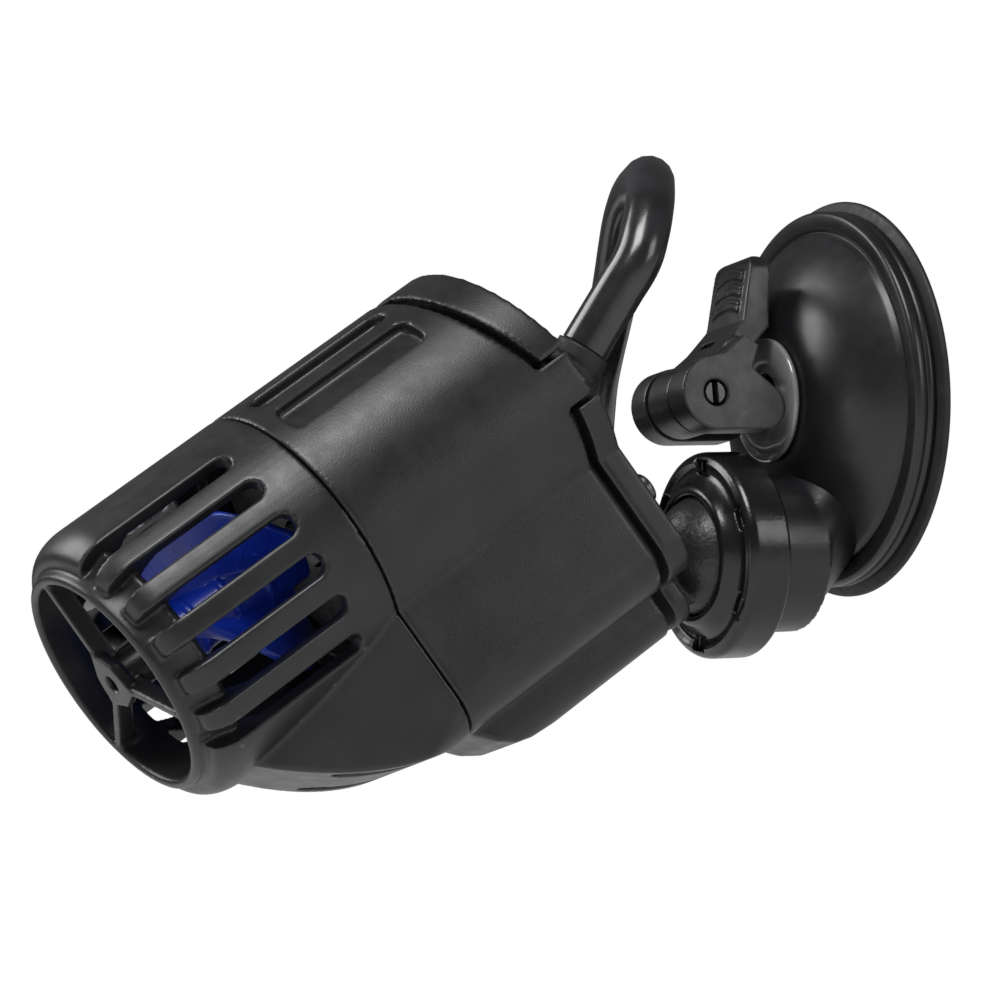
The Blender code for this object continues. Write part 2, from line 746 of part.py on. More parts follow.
def ball_stud():
    ball_place = PUMP_FRAME @ shift(0, BALL_OFFSET, BALL_STATION)

    def build(work):
        bmesh.ops.create_uvsphere(work, u_segments=24, v_segments=12, radius=BALL_R)

    ball = add("ball_stud", mesh_of(build), ball_place)
    neck_low = (-NECK_HALF, -NECK_HALF, CAP_BACK + GAP - BALL_STATION)
    join(
        ball,
        box("neck", neck_low, (NECK_HALF, NECK_HALF, 0), ball_place, CUTTERS),
        cylinder("stud", STUD_R, CAP_BACK - 3.4 - BALL_STATION, 0, ball_place, CUTTERS, 16),
    )
    return finish(baked(ball), GLOSS_BLACK)


def socket_pad():
    """The seat behind the ball, hollowed to the ball's shape."""
    bowl_r = BALL_R + GAP
    edge = 20.2
    bowl = []
    for i in range(6):
        depth = edge - BALL_DEPTH + (-bowl_r - (edge - BALL_DEPTH)) * i / 5
        bowl.append((math.sqrt(max(bowl_r**2 - depth**2, 0.0)), BALL_DEPTH + depth))
    profile = bowl[::-1] + [(SOCKET_R - GAP, edge), (SOCKET_R - GAP, 12.4), (0.0, 12.4)]
    return finish(turned("socket_pad", profile, BOSS_FRAME, sides=28), RUBBER)


def clamp_nut():
    profile = [
        (9.4, 29.5), (10.1, 29.4), (11.0, 28.2), (12.4, 27.6), (13.9, 27.9), (14.9, 27.3), (NUT_R, 26.3),
        (NUT_R, NUT_BACK + 0.5), (NUT_R - 0.5, NUT_BACK), (12.0, NUT_BACK), (12.0, 23.3),
        (10.0, 24.9), (9.9, 26.4), (9.5, 28.2), (NUT_OPENING, 29.1),
    ]
    nut = turned("clamp_nut", profile, BOSS_FRAME)
    windows = []
    for index in range(NUT_WINDOWS):
        place = BOSS_FRAME @ Matrix.Rotation(2 * math.pi * (index + 0.3) / NUT_WINDOWS, 4, "Z")
        windows.append(box("window", (11.9, -1.7, 26.3), (14.1, 1.7, 31.0), place, CUTTERS))
    cut(nut, gathered("windows", windows))
    return finish(baked(nut), GLOSS_BLACK)


def suction_disc():
    profile = [
        (8.5, 4.6), (12.0, 3.9), (20.0, 2.2), (26.0, DISC_THICK), (29.2, DISC_THICK), (DISC_R, 1.1), (DISC_R, 0.0),
        (SEAL_R, 0.0), (12.0, 1.8), (6.4, 2.8), (6.4, 4.6),
    ]
    return finish(turned("suction_disc", profile, WALL_FRAME, sides=40), RUBBER)


def dome_profile():
    """Half-section of the bell: a flange ring, a groove, and a dome that flattens at the top."""
    outer = []
    steps = 5
    for i in range(steps + 1):
        part = i / steps
        radius = DOME_TOP_R + (DOME_EDGE_R - DOME_TOP_R) * part
        outer.append((radius, DOME_EDGE_DEPTH + (DOME_TOP_DEPTH - DOME_EDGE_DEPTH) * (1 - part**1.8)))
    flange = [(25.2, 4.7), (27.4, 5.0), (28.2, 4.4), (28.3, 3.6), (28.3, DISC_THICK + GAP), (26.2, DISC_THICK + GAP)]
    inner = [(24.0, 3.7), (17.0, 8.0), (DOME_TOP_R, 11.3), (4.0, 11.5), (4.0, DOME_TOP_DEPTH)]
    return outer + flange + inner


def boss_web():
    """The web that carries the ball socket's boss off the lower part of the bell."""
    points = []
    for angle in range(0, 360, 12):
        x, y = polar(BOSS_R, angle)
        points.append((x, y, 13.0))
        near = polar(BOSS_R - 1.2, angle)
        points.append((near[0], near[1] + 7.2, 5.0))
    return hull("boss_web", points, BOSS_FRAME, CUTTERS)


def base_bell():
    bell = turned("base_bell", dome_profile(), WALL_FRAME, sides=40)
    join(
        bell,
        boss_web(),
        cylinder("boss", BOSS_R, 12.0, 20.3, BOSS_FRAME, CUTTERS, ROUND),
        cylinder("boss_spigot", SOCKET_R + 1.6, 18.0, 22.9, BOSS_FRAME, CUTTERS, ROUND),
    )
    cut(
        bell,
        cylinder("socket_bore", SOCKET_R, 12.1, 30.0, BOSS_FRAME, CUTTERS, ROUND),
        cylinder("stem_bore", 3.6, 2.0, 40.0, WALL_FRAME, CUTTERS),
    )
    return finish(baked(bell), SATIN_BLACK)


def pull_stem():
    """The stem, from its foot in the rubber to the barrel that the lever's pin runs through."""
    profile = [
        (0.0, PIVOT_DEPTH), (STEM_R, PIVOT_DEPTH), (STEM_R, 4.6), (STEM_FOOT_R, 4.6), (STEM_FOOT_R, 2.9), (0.0, 2.9),
    ]
    stem = turned("pull_stem", profile, WALL_FRAME, sides=24)
    across = Matrix.Translation(PIVOT) @ Matrix.Rotation(math.radians(90), 4, "Y")
    join(stem, cylinder("stem_barrel", EAR_R - 0.2, -BARREL_HALF, BARREL_HALF, across, CUTTERS, 28))
    cut(stem, cylinder("barrel_hole", PIN_R + GAP, -9, 9, across, CUTTERS))
    return finish(baked(stem), GLOSS_BLACK)


LEVER_VIEW = Matrix(((0, 0, 1, 0), (1, 0, 0, 0), (0, 1, 0, 0), (0, 0, 0, 1)))


def cam_lever():
    """Two cam ears with noses towards the bell, bridged by a cranked thumb paddle."""
    frame = Matrix.Translation(PIVOT) @ LEVER_VIEW
    ear = (
        arc((0, 0), EAR_R, 95, 270, 12)
        + arc((8.2, -2.1), 3.4, -90, 55, 6)
        + [(6.6, 3.6), (8.0, 7.0), (5.6, 8.6), (2.0, 6.0)]
    )
    near = extruded("ear_near", [ear], EAR_START, EAR_START + EAR_WIDTH, frame, CUTTERS)
    far = extruded("ear_far", [ear], -EAR_START - EAR_WIDTH + 0.3, -EAR_START, frame, CUTTERS)
    paddle_outline = (
        [(1.6, 5.75), (7.2, 11.2)]
        + arc((11.0, 19.6), 1.65, 180, 0, 5)
        + [(11.4, 10.2), (7.0, 5.75)]
    )
    paddle = extruded("cam_lever", [paddle_outline], -PADDLE_HALF, PADDLE_HALF, frame)
    join(paddle, near, far)
    across = Matrix.Translation(PIVOT) @ Matrix.Rotation(math.radians(90), 4, "Y")
    cut(paddle, cylinder("lever_hole", PIN_R + GAP, -12, 12, across, CUTTERS))
    return finish(baked(paddle), GLOSS_BLACK)


def lever_pin():
    across = Matrix.Translation(PIVOT) @ Matrix.Rotation(math.radians(90), 4, "Y")
    pin = cylinder("lever_pin", PIN_R, -8.0, 8.1, across, sides=16)
    cut(pin, box("pin_slit", (4.0, -0.35, -3.0), (10.0, 0.35, 3.0), Matrix.Translation(PIVOT), CUTTERS))
    return finish(baked(pin), GLOSS_BLACK)


# Lead


def smooth_line(points, count):
    """Evenly spread points along a Catmull-Rom curve through the given points."""
    knots = [Vector(point) for point in points]
    knots = [2 * knots[0] - knots[1]] + knots + [2 * knots[-1] - knots[-2]]
    fine = []
    for a, b, c, d in zip(knots, knots[1:], knots[2:], knots[3:]):
        for i in range(20):
            t = i / 20
            fine.append(
                0.5 * (2 * b + (c - a) * t + (2 * a - 5 * b + 4 * c - d) * t * t + (3 * b - a - 3 * c + d) * t**3)
            )
    fine.append(knots[-2])
    lengths = [0.0]
    for a, b in zip(fine, fine[1:]):
        lengths.append(lengths[-1] + (b - a).length)
    spread = []
    for i in range(count):
        wanted = lengths[-1] * i / (count - 1)
        spread.append(fine[min(range(len(fine)), key=lambda k: abs(lengths[k] - wanted))])
    return spread


def lead():
    tip = relief_frame().translation / MM
    along = (relief_frame().to_3x3() @ Vector((0, 0, 1))) * 9
    points = smooth_line((tip, tip + along) + LEAD_ROUTE, LEAD_POINTS)
    finish(tube("power_lead", points, LEAD_R, Matrix.Identity(4)), GLOSS_BLACK, smooth=False)
    inner = COIL_MEAN_R - COIL_HALF_DEPTH
    outer = COIL_MEAN_R + COIL_HALF_DEPTH
    ring("lead_coil", outer, inner, -COIL_HALF_WIDTH, COIL_HALF_WIDTH, COIL_FRAME, GLOSS_BLACK, ROUND)
    height = COIL_HALF_WIDTH + LEAD_R + 2 * GAP
    angles = [TAIL_START + TAIL_TURN * i / (TAIL_POINTS - 1) for i in range(TAIL_POINTS)]
    middle_x, middle_y = TAIL_CENTRE
    tail = [(middle_x + TAIL_R * math.cos(a), middle_y + TAIL_R * math.sin(a), height) for a in angles]
    finish(tube("lead_tail", tail, LEAD_R, COIL_FRAME), GLOSS_BLACK, smooth=False)
    return tail


def plug(tail):
    """A two-pin plug that lies on the coil, in line with the end of the lead."""
    end = Vector(tail[-1])
    along = (end - Vector(tail[-2])).normalized()
    up = Vector((0, 0, 1))
    side = up.cross(along)
    turn = Matrix((side, up, along)).transposed().to_4x4()
    place = COIL_FRAME @ shift(*end) @ turn
    body = [(-9.0, -4.0), (-6.0, -6.0), (6.0, -6.0), (9.0, -4.0), (9.0, 4.0), (6.0, 6.0), (-6.0, 6.0), (-9.0, 4.0)]
    low = -LEAD_R - 0.4
    lifted = [(x, y + 6.0 + low) for x, y in body]
    shell = extruded("plug_body", [lifted], 8.0, PLUG_LENGTH, place)
    sleeve = cylinder("plug_sleeve", LEAD_R + 0.2, GAP, 9.0, place, CUTTERS, end_radius=LEAD_R + 0.4)
    join(shell, sleeve)
    finish(baked(shell), RUBBER, smooth=False)
    for name, x in (("plug_pin_left", -6.0), ("plug_pin_right", 6.0)):
        pin = cylinder(name, 2.0, PLUG_LENGTH + GAP, PLUG_LENGTH + 15, place @ shift(x, 6.0 + low), sides=12)
        finish(pin, BRASS)


def coil_tie():
    """A strap round the coil's section, at its side away from the pump."""
    angle = math.radians(-60)
    place = COIL_FRAME @ Matrix.Rotation(angle, 4, "Z") @ shift(COIL_MEAN_R) @ Matrix.Rotation(math.radians(90), 4, "X")
    deep = COIL_HALF_DEPTH + GAP
    wide = COIL_HALF_WIDTH + GAP
    thick = 0.9

    def loop(margin):
        return [(-deep - margin, -wide - margin), (deep + margin, -wide - margin),
                (deep + margin, wide + margin), (-deep - margin, wide + margin)]

    finish(extruded("coil_tie", [loop(thick), loop(0.0)], -3.0, 3.0, place), RUBBER, smooth=False)


PUMP_PIECES = (
    "motor_housing", "rear_cap", "cap_screw_left", "cap_screw_right", "strain_relief", "stator_core", "coil_spool",
    "coil_winding", "potting_plate", "rear_bush", "well_cover", "well_seal", "power_lead", "lead_coil", "lead_tail",
    "coil_tie", "plug_body", "plug_pin_left", "plug_pin_right",
)


def hang_pump():
    """An empty at the ball's centre, on the pump's joint axes, carries the pieces that turn with the pump."""
    joint = bpy.data.objects.new("pump_joint", None)
    PARTS.objects.link(joint)
    joint.empty_display_size = BALL_R * MM
    joint.matrix_world = Matrix.Translation(BALL) @ PUMP_TURN
    for name in PUMP_PIECES:
        piece = bpy.data.objects[name]
        piece.parent = joint
        piece.matrix_parent_inverse = joint.matrix_world.inverted()


def build():
    front_cage()
    rotor_line()
    motor_housing()
    stator()
    potting()
    rear_cap()
    cap_screws()
    strain_relief()
    ball_stud()
    socket_pad()
    clamp_nut()
    suction_disc()
    base_bell()
    seat_profile = [(9.3, 14.3), (9.3, 13.7), (4.0, 13.7), (4.0, 14.5), (8.9, 14.5)]
    finish(turned("seat_ring", seat_profile, WALL_FRAME), GREY)
    pull_stem()
    cam_lever()
    lever_pin()
    plug(lead())
    coil_tie()
    hang_pump()


build()
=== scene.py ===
"""Looks for the wave maker pump: detailed pieces, materials, lights and the camera.

Lengths are in millimetres in the row frame, and MM turns them into metres. The frames,
outlines and the lead's route repeat those of the CAD source.
"""

import math

import bmesh
import bpy
from mathutils import Matrix, Vector


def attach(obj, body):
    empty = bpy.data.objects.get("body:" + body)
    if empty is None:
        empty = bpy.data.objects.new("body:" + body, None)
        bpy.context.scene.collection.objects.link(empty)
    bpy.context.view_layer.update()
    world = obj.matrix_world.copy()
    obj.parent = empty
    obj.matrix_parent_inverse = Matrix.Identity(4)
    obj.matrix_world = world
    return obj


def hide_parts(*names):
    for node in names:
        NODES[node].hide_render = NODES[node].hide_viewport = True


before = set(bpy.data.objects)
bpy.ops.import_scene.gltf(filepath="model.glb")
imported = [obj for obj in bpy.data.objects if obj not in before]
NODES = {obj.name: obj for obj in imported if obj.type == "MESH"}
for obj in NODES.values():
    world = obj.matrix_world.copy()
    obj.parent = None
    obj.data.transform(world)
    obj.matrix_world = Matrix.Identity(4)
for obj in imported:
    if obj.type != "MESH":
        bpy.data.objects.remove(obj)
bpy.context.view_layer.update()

MM = 0.001
GAP = 0.3
ROUND = 96
SMALL_ROUND = 48
SHARP = math.radians(35)
CLEAR = 60.0  # how far a cutter reaches past the pump

# Pump: body section and stations along its axis, from the outlet's rim.
BODY_R = 21.7
FLAT_X = 16.0
LOBE_END = 35.2
LOBE_CORNER = 6.0
WALL = 2.2
SEAM = 35.0
REAR = 72.4
REAR_TOP = 65.6
CAP_GAP = 1.5
CAP_BACK = 78.0
CAP_BACK_TOP = 74.0
KEEL_END = 41.8
KEEL_HALF = 8.0
KEEL_START = 36.5
KEEL_FULL = 45.0
GROOVES = ((-49.0, 3.0), (-70.0, 1.9), (-110.0, 1.9), (-131.0, 3.0))  # angle and half width
GROOVE_START = 38.5
GROOVE_END = 63.0
BULKHEAD = 38.2
BULKHEAD_END = 41.0
WELL_R = 8.3
WELL_WALL = 1.4
WELL_FLOOR = 61.9

# Outlet, cage and its slots.
OUTLET_R = 18.0
OUTLET_BORE = 16.4
CAGE_WALL = 2.2
SHOULDER = 6.0
SLOT_END = 28.3
SLOT_HALF = 1.7
SLOT_FIRST = -49.5
SLOT_STEP = 18.5
SLOT_COUNT = 6
SPOKE_ANGLES = (-90.0, 30.0, 150.0)
HUB_R = 3.1
BUSH_R = 2.0
SPIGOT_R = 19.2
SPIGOT_END = 37.4

# Propeller.
BORE_R = 1.1
HUB_FRONT = 9.5
HUB_REAR = 33.4
PROPELLER_HUB_R = 4.2
PROPELLER_R = 15.4
BLADE_COUNT = 3
BLADE_START = 11.0
BLADE_LENGTH = 20.0
BLADE_TWIST = 115.0
BLADE_THICK = 1.5

# Ball joint and suction mount, as depths from the wall.
BALL_DEPTH = 25.0
BALL_DROP = 23.1
BALL_R = 9.5
BALL_STATION = 88.3
BALL_OFFSET = 37.4
NECK_HALF = 3.2
STUD_R = 2.2
DISC_R = 29.8
DISC_THICK = 1.6
SEAL_R = 22.0
DOME_EDGE_R = 24.9
DOME_EDGE_DEPTH = 5.2
DOME_TOP_R = 10.2
DOME_TOP_DEPTH = 13.4
STEM_R = 3.0
STEM_FOOT_R = 6.0
PIVOT_DEPTH = 27.2
EAR_R = 5.5
BARREL_HALF = 3.4
EAR_START = 3.7
EAR_WIDTH = 4.7
PIN_R = 1.7
PADDLE_HALF = 6.0
PADDLE_ROOT = (7.2, 11.2)
PADDLE_LEAN = math.degrees(math.atan2(8.4, 2.15))
NUT_R = 15.3
NUT_BACK = 20.6
NUT_OPENING = 8.8
NUT_WINDOWS = 6
BOSS_R = 11.7
SOCKET_R = 10.0

# Lead: a round mains lead with its spare length wound into a tied coil.
LEAD_R = 3.6
RELIEF_TIP = (16.3, 0.3, 82.2)
RELIEF_AXIS = (0.3, -0.4, 0.866)
RELIEF_LENGTH = 20.0
LEAD_ROUTE = (
    (17.0, -43.0, 18.5),
    (14.0, -38.8, 26.5),
    (3.0, -32.5, 32.8),
    (-12.1, -28.0, 31.2),
    (-25.7, -24.5, 20.2),
    (-32.8, -25.0, 8.6),
    (-43.8, -22.2, -2.6),
)
LEAD_STEPS = 26
COIL_CENTRE = (-80.0, -51.5, -15.9)
COIL_TILT = math.radians(11.4)
COIL_MEAN_R = 36.0
COIL_HALF_WIDTH = 10.8
COIL_HALF_DEPTH = 7.2
COIL_ENTRY = 62.5
COIL_EXIT = 300.0
COIL_STEP = 15
LAYERS = ((39.6, 7.2), (39.6, 0.0), (39.6, -7.2), (32.4, -7.2), (32.4, 0.0), (32.4, 7.2))
LAYER_CHANGE = 45.0
TAIL_CENTRE = (2.8, 5.3)
TAIL_R = 30.0
TAIL_START = 33.0
TAIL_TURN = 120.0
TAIL_HEIGHT = 15.0
PLUG_LENGTH = 32.0

WALL_FRAME = Matrix.Rotation(math.radians(90), 4, "X")
BALL = Vector((0.0, -BALL_DEPTH, -BALL_DROP)) * MM
PUMP_TURN = (
    Matrix.Rotation(math.radians(-2.3), 4, "Z")
    @ Matrix.Rotation(math.radians(31.9), 4, "X")
    @ Matrix.Rotation(math.radians(-90), 4, "X")
    @ Matrix.Rotation(math.radians(-3.5), 4, "Z")
)
PUMP_FRAME = (
    Matrix.Translation(BALL)
    @ PUMP_TURN
    @ Matrix.Translation(Vector((0.0, -BALL_OFFSET, -BALL_STATION)) * MM)
)
BOSS_FRAME = Matrix.Translation(Vector((0.0, 0.0, -BALL_DROP)) * MM) @ WALL_FRAME
PIVOT = Vector((0.0, -PIVOT_DEPTH, 0.0)) * MM
PIVOT_PLACE = Matrix.Translation(PIVOT)
ACROSS = PIVOT_PLACE @ Matrix.Rotation(math.radians(90), 4, "Y")
COIL_FRAME = Matrix.Translation(Vector(COIL_CENTRE) * MM) @ Matrix.Rotation(COIL_TILT, 4, "X")
SIDE_VIEW = Matrix(((0, 0, 1, 0), (0, 1, 0, 0), (-1, 0, 0, 0), (0, 0, 0, 1)))
PLAN_VIEW = Matrix(((0, -1, 0, 0), (0, 0, 1, 0), (-1, 0, 0, 0), (0, 0, 0, 1)))
LEVER_VIEW = Matrix(((0, 0, 1, 0), (1, 0, 0, 0), (0, 1, 0, 0), (0, 0, 0, 1)))

VISUAL = bpy.data.collections.new("visual")
bpy.context.scene.collection.children.link(VISUAL)


# Camera, lights and floor

CAMERA_RIGHT = Vector((0.4404, 0.8942, -0.0806)).normalized()
CAMERA_UP = Vector((0.14, 0.0203, 0.9899))
CAMERA_PLACE = Vector((0.57768, -0.35115, -0.08985))
CAMERA_LENS = 162.0
OBJECT_CENTRE = Vector((-0.03, -0.06, -0.01))
FLOOR_Z = -0.12


def camera():
    up = (CAMERA_UP - CAMERA_RIGHT * CAMERA_UP.dot(CAMERA_RIGHT)).normalized()
    back = CAMERA_RIGHT.cross(up)
    made = bpy.data.cameras.new("camera")
    made.lens = CAMERA_LENS
    made.sensor_width = 36.0
    made.clip_start = 0.01
    obj = bpy.data.objects.new("camera", made)
    bpy.context.scene.collection.objects.link(obj)
    turn = Matrix((CAMERA_RIGHT, up, back)).transposed().to_4x4()
    obj.matrix_world = Matrix.Translation(CAMERA_PLACE) @ turn
    bpy.context.scene.camera = obj
    return CAMERA_RIGHT, up, back


def softbox(name, place, size, power):
    """A square area light that faces the object."""
    made = bpy.data.lights.new(name, "AREA")
    made.shape = "SQUARE"
    made.size = size
    made.energy = power
    obj = bpy.data.objects.new(name, made)
    bpy.context.scene.collection.objects.link(obj)
    obj.matrix_world = Matrix.Translation(place) @ (place - OBJECT_CENTRE).to_track_quat("Z", "Y").to_matrix().to_4x4()


def studio():
    """A white room: bright to the camera, dimmer as a light, with softboxes round the object."""
    right, up, back = camera()
    world = bpy.data.worlds.new("studio")
    world.use_nodes = True
    bpy.context.scene.world = world
    tree = world.node_tree
    tree.nodes.clear()
    seen = tree.nodes.new("ShaderNodeBackground")
    seen.inputs["Color"].default_value = (1, 1, 1, 1)
    lit = tree.nodes.new("ShaderNodeBackground")
    lit.inputs["Color"].default_value = (0.95, 0.97, 1.0, 1)
    lit.inputs["Strength"].default_value = 0.09
    path = tree.nodes.new("ShaderNodeLightPath")
    mix = tree.nodes.new("ShaderNodeMixShader")
    output = tree.nodes.new("ShaderNodeOutputWorld")
    tree.links.new(path.outputs["Is Camera Ray"], mix.inputs[0])
    tree.links.new(lit.outputs[0], mix.inputs[1])
    tree.links.new(seen.outputs[0], mix.inputs[2])
    tree.links.new(mix.outputs[0], output.inputs["Surface"])
    softbox("key", OBJECT_CENTRE + back * 0.30 + up * 0.48 - right * 0.05, 0.24, 2.3)
    softbox("side", OBJECT_CENTRE + back * 0.30 - up * 0.12 - right * 0.50, 0.28, 0.45)
    softbox("rim", OBJECT_CENTRE + back * 0.25 + up * 0.20 + right * 0.48, 0.20, 0.45)
    softbox("dome_light", OBJECT_CENTRE - back * 0.10 + up * 0.32 - right * 0.50, 0.34, 2.4)
    bpy.context.scene.view_settings.view_transform = "Standard"


def floor():
    mesh = bpy.data.meshes.new("floor")
    half = 3.0
    mesh.from_pydata([(-half, -half, 0), (half, -half, 0), (half, half, 0), (-half, half, 0)], [], [(0, 1, 2, 3)])
    obj = bpy.data.objects.new("floor", mesh)
    bpy.context.scene.collection.objects.link(obj)
    obj.location = (0, 0, FLOOR_Z)
    pale = bpy.data.materials.new("pale_floor")
    pale.use_nodes = True
    shader = pale.node_tree.nodes["Principled BSDF"]
    shader.inputs["Base Color"].default_value = (0.50, 0.50, 0.49, 1)
    shader.inputs["Roughness"].default_value = 0.7
    shader.inputs["Emission Color"].default_value = (1.0, 1.0, 0.99, 1)
    shader.inputs["Emission Strength"].default_value = 0.42
    mesh.materials.append(pale)


studio()
floor()


# Materials


class Surface:
    """A Principled material and short ways to build its nodes."""

    def __init__(self, name, **sockets):
        self.material = bpy.data.materials.new(name)
        self.material.use_nodes = True
        self.tree = self.material.node_tree
        self.shader = self.tree.nodes["Principled BSDF"]
        for socket, value in sockets.items():
            self.shader.inputs[socket.replace("_", " ")].default_value = value
        self.place = self.tree.nodes.new("ShaderNodeTexCoord").outputs["Object"]

    def link(self, source, target):
        self.tree.links.new(source, target)

    def noise(self, scale, detail=2.0, stretch=(1, 1, 1)):
        """Noise with so many bumps a metre, from about 0.3 to 0.7."""
        mapping = self.tree.nodes.new("ShaderNodeMapping")
        mapping.inputs["Scale"].default_value = stretch
        self.link(self.place, mapping.inputs["Vector"])
        made = self.tree.nodes.new("ShaderNodeTexNoise")
        made.inputs["Scale"].default_value = scale
        made.inputs["Detail"].default_value = detail
        self.link(mapping.outputs[0], made.inputs["Vector"])
        return made.outputs["Fac"]

    def mapped(self, source, low, high, to_low, to_high):
        made = self.tree.nodes.new("ShaderNodeMapRange")
        for socket, value in zip(("From Min", "From Max", "To Min", "To Max"), (low, high, to_low, to_high)):
            made.inputs[socket].default_value = value
        self.link(source, made.inputs["Value"])
        return made.outputs[0]

    def times(self, a, b):
        made = self.tree.nodes.new("ShaderNodeMath")
        made.operation = "MULTIPLY"
        self.link(a, made.inputs[0])
        self.link(b, made.inputs[1])
        return made.outputs[0]

    def mixed(self, factor, first, second):
        """A colour between two, each a tuple or a socket."""
        made = self.tree.nodes.new("ShaderNodeMix")
        made.data_type = "RGBA"
        self.link(factor, made.inputs["Factor"])
        for socket, colour in zip((made.inputs[6], made.inputs[7]), (first, second)):
            if isinstance(colour, tuple):
                socket.default_value = (*colour, 1.0)
            else:
                self.link(colour, socket)
        return made.outputs[2]

    def colour(self, source):
        self.link(source, self.shader.inputs["Base Color"])

    def rough(self, low, high, scale=350.0):
        self.link(self.mapped(self.noise(scale, 4.0), 0.3, 0.7, low, high), self.shader.inputs["Roughness"])

    def bump(self, height, depth_mm, strength=1.0):
        made = self.tree.nodes.new("ShaderNodeBump")
        made.inputs["Strength"].default_value = strength
        made.inputs["Distance"].default_value = depth_mm * MM
        self.link(height, made.inputs["Height"])
        self.link(made.outputs[0], self.shader.inputs["Normal"])

    def worn_and_highlit_edge(self, low=0.52, high=0.60):
        """1 on outward edges, broken up by a fine noise; it makes edges paler, partly as rubbed wear and partly as a
        painted highlight.
        """
        geometry = self.tree.nodes.new("ShaderNodeNewGeometry")
        edge = self.mapped(geometry.outputs["Pointiness"], low, high, 0.0, 1.0)
        return self.times(edge, self.mapped(self.noise(900.0, 3.0), 0.4, 0.6, 0.3, 1.0))


def plastic(name, dark, light, roughness, grain=4200.0, depth=0.022, wear_and_highlight=None, **sockets):
    """Moulded plastic: mottled colour, spark-eroded grain, and paler edges that are partly rubbed wear and partly a
    painted edge highlight.
    """
    made = Surface(name, **sockets)
    tone = made.mixed(made.mapped(made.noise(130.0, 4.0), 0.35, 0.65, 0.0, 1.0), dark, light)
    if wear_and_highlight:
        # Paler edges: partly rubbed wear, partly a painted edge highlight.
        tone = made.mixed(made.worn_and_highlit_edge(), tone, wear_and_highlight)
    made.colour(tone)
    made.rough(*roughness)
    made.bump(made.noise(grain, 2.0), depth)
    return made.material


def rubber(name, dark, light, roughness=(0.48, 0.62)):
    made = Surface(name, Specular_IOR_Level=0.4)
    made.colour(made.mixed(made.mapped(made.noise(220.0, 5.0), 0.35, 0.65, 0.0, 1.0), dark, light))
    made.rough(*roughness, scale=600.0)
    made.bump(made.noise(1400.0, 3.0), 0.03)
    return made.material


def cord_jacket():
    """Extruded vinyl: glossy, with slight draw lines and scuffs."""
    made = Surface("cord_vinyl", Coat_Weight=0.35, Coat_Roughness=0.18)
    made.colour(made.mixed(made.mapped(made.noise(160.0, 4.0), 0.35, 0.65, 0.0, 1.0), (0.012, 0.012, 0.013), (0.022, 0.022, 0.024)))
    made.rough(0.18, 0.28, scale=500.0)
    made.bump(made.noise(700.0, 2.0), 0.02, 0.5)
    return made.material


def metal(name, dark, light, roughness, scale=900.0, stretch=(1, 1, 8)):
    """Drawn or turned metal with fine lines along one axis."""
    made = Surface(name, Metallic=1.0)
    made.colour(made.mixed(made.mapped(made.noise(scale, 3.0, stretch), 0.35, 0.65, 0.0, 1.0), dark, light))
    made.rough(*roughness, scale=700.0)
    made.bump(made.noise(scale, 3.0, stretch), 0.01)
    return made.material


def banded(name, dark, light, metallic, pitch_mm, axis, roughness):
    """Fine parallel bands, as of wound wire or stacked sheets."""
    made = Surface(name, Metallic=metallic)
    wave = made.tree.nodes.new("ShaderNodeTexWave")
    wave.bands_direction = axis
    wave.inputs["Scale"].default_value = 0.314 / (pitch_mm * MM)
    wave.inputs["Distortion"].default_value = 0.6
    made.link(made.place, wave.inputs["Vector"])
    made.colour(made.mixed(wave.outputs["Fac"], dark, light))
    made.rough(*roughness)
    made.bump(wave.outputs["Fac"], 0.05)
    return made.material


# The edge colours given below paint the edges paler: partly rubbed wear, partly a painted edge highlight.
SATIN = plastic("housing_plastic", (0.011, 0.011, 0.012), (0.017, 0.017, 0.018), (0.33, 0.43), wear_and_highlight=(0.06, 0.06, 0.065))
SMOOTH = plastic(
    "bell_plastic", (0.009, 0.009, 0.010), (0.013, 0.013, 0.015), (0.30, 0.38), 3200.0, 0.015, wear_and_highlight=(0.07, 0.07, 0.075)
)
TURNED = plastic("bell_sheen", (0.009, 0.009, 0.010), (0.013, 0.013, 0.015), (0.28, 0.36), 3200.0, 0.012)
LEVER = plastic("lever_plastic", (0.011, 0.011, 0.012), (0.017, 0.017, 0.018), (0.30, 0.40), 2800.0, 0.02, wear_and_highlight=(0.10, 0.10, 0.105))
POLISHED = plastic("nut_plastic", (0.007, 0.007, 0.008), (0.011, 0.011, 0.012), (0.17, 0.28), 1500.0, 0.02)
COARSE = plastic("ball_plastic", (0.011, 0.011, 0.012), (0.020, 0.020, 0.021), (0.34, 0.48), 1300.0, 0.12)
BLUE = plastic(
    "propeller_plastic", (0.004, 0.022, 0.30), (0.008, 0.040, 0.46), (0.26, 0.38), 1800.0, 0.02,
    Subsurface_Weight=0.15, Subsurface_Radius=(0.0004, 0.0008, 0.003), wear_and_highlight=(0.05, 0.14, 0.75),
)
PALE = plastic("seat_plastic", (0.20, 0.20, 0.205), (0.26, 0.26, 0.265), (0.10, 0.18), 1500.0, 0.01, Coat_Weight=0.8, Coat_Roughness=0.06)
WHITE = plastic("spool_plastic", (0.72, 0.72, 0.69), (0.82, 0.82, 0.80), (0.38, 0.50), 1800.0, 0.02)
RESIN = plastic("potting_resin", (0.020, 0.020, 0.024), (0.035, 0.035, 0.040), (0.18, 0.34), 500.0, 0.06)
CERAMIC = plastic("shaft_ceramic", (0.82, 0.82, 0.79), (0.90, 0.90, 0.88), (0.16, 0.26), 2500.0, 0.005)
FERRITE = plastic("magnet_ferrite", (0.035, 0.035, 0.04), (0.06, 0.06, 0.065), (0.40, 0.60), 1600.0, 0.05, Metallic=0.3)
RUBBER = rubber("soft_rubber", (0.010, 0.010, 0.011), (0.018, 0.018, 0.019))
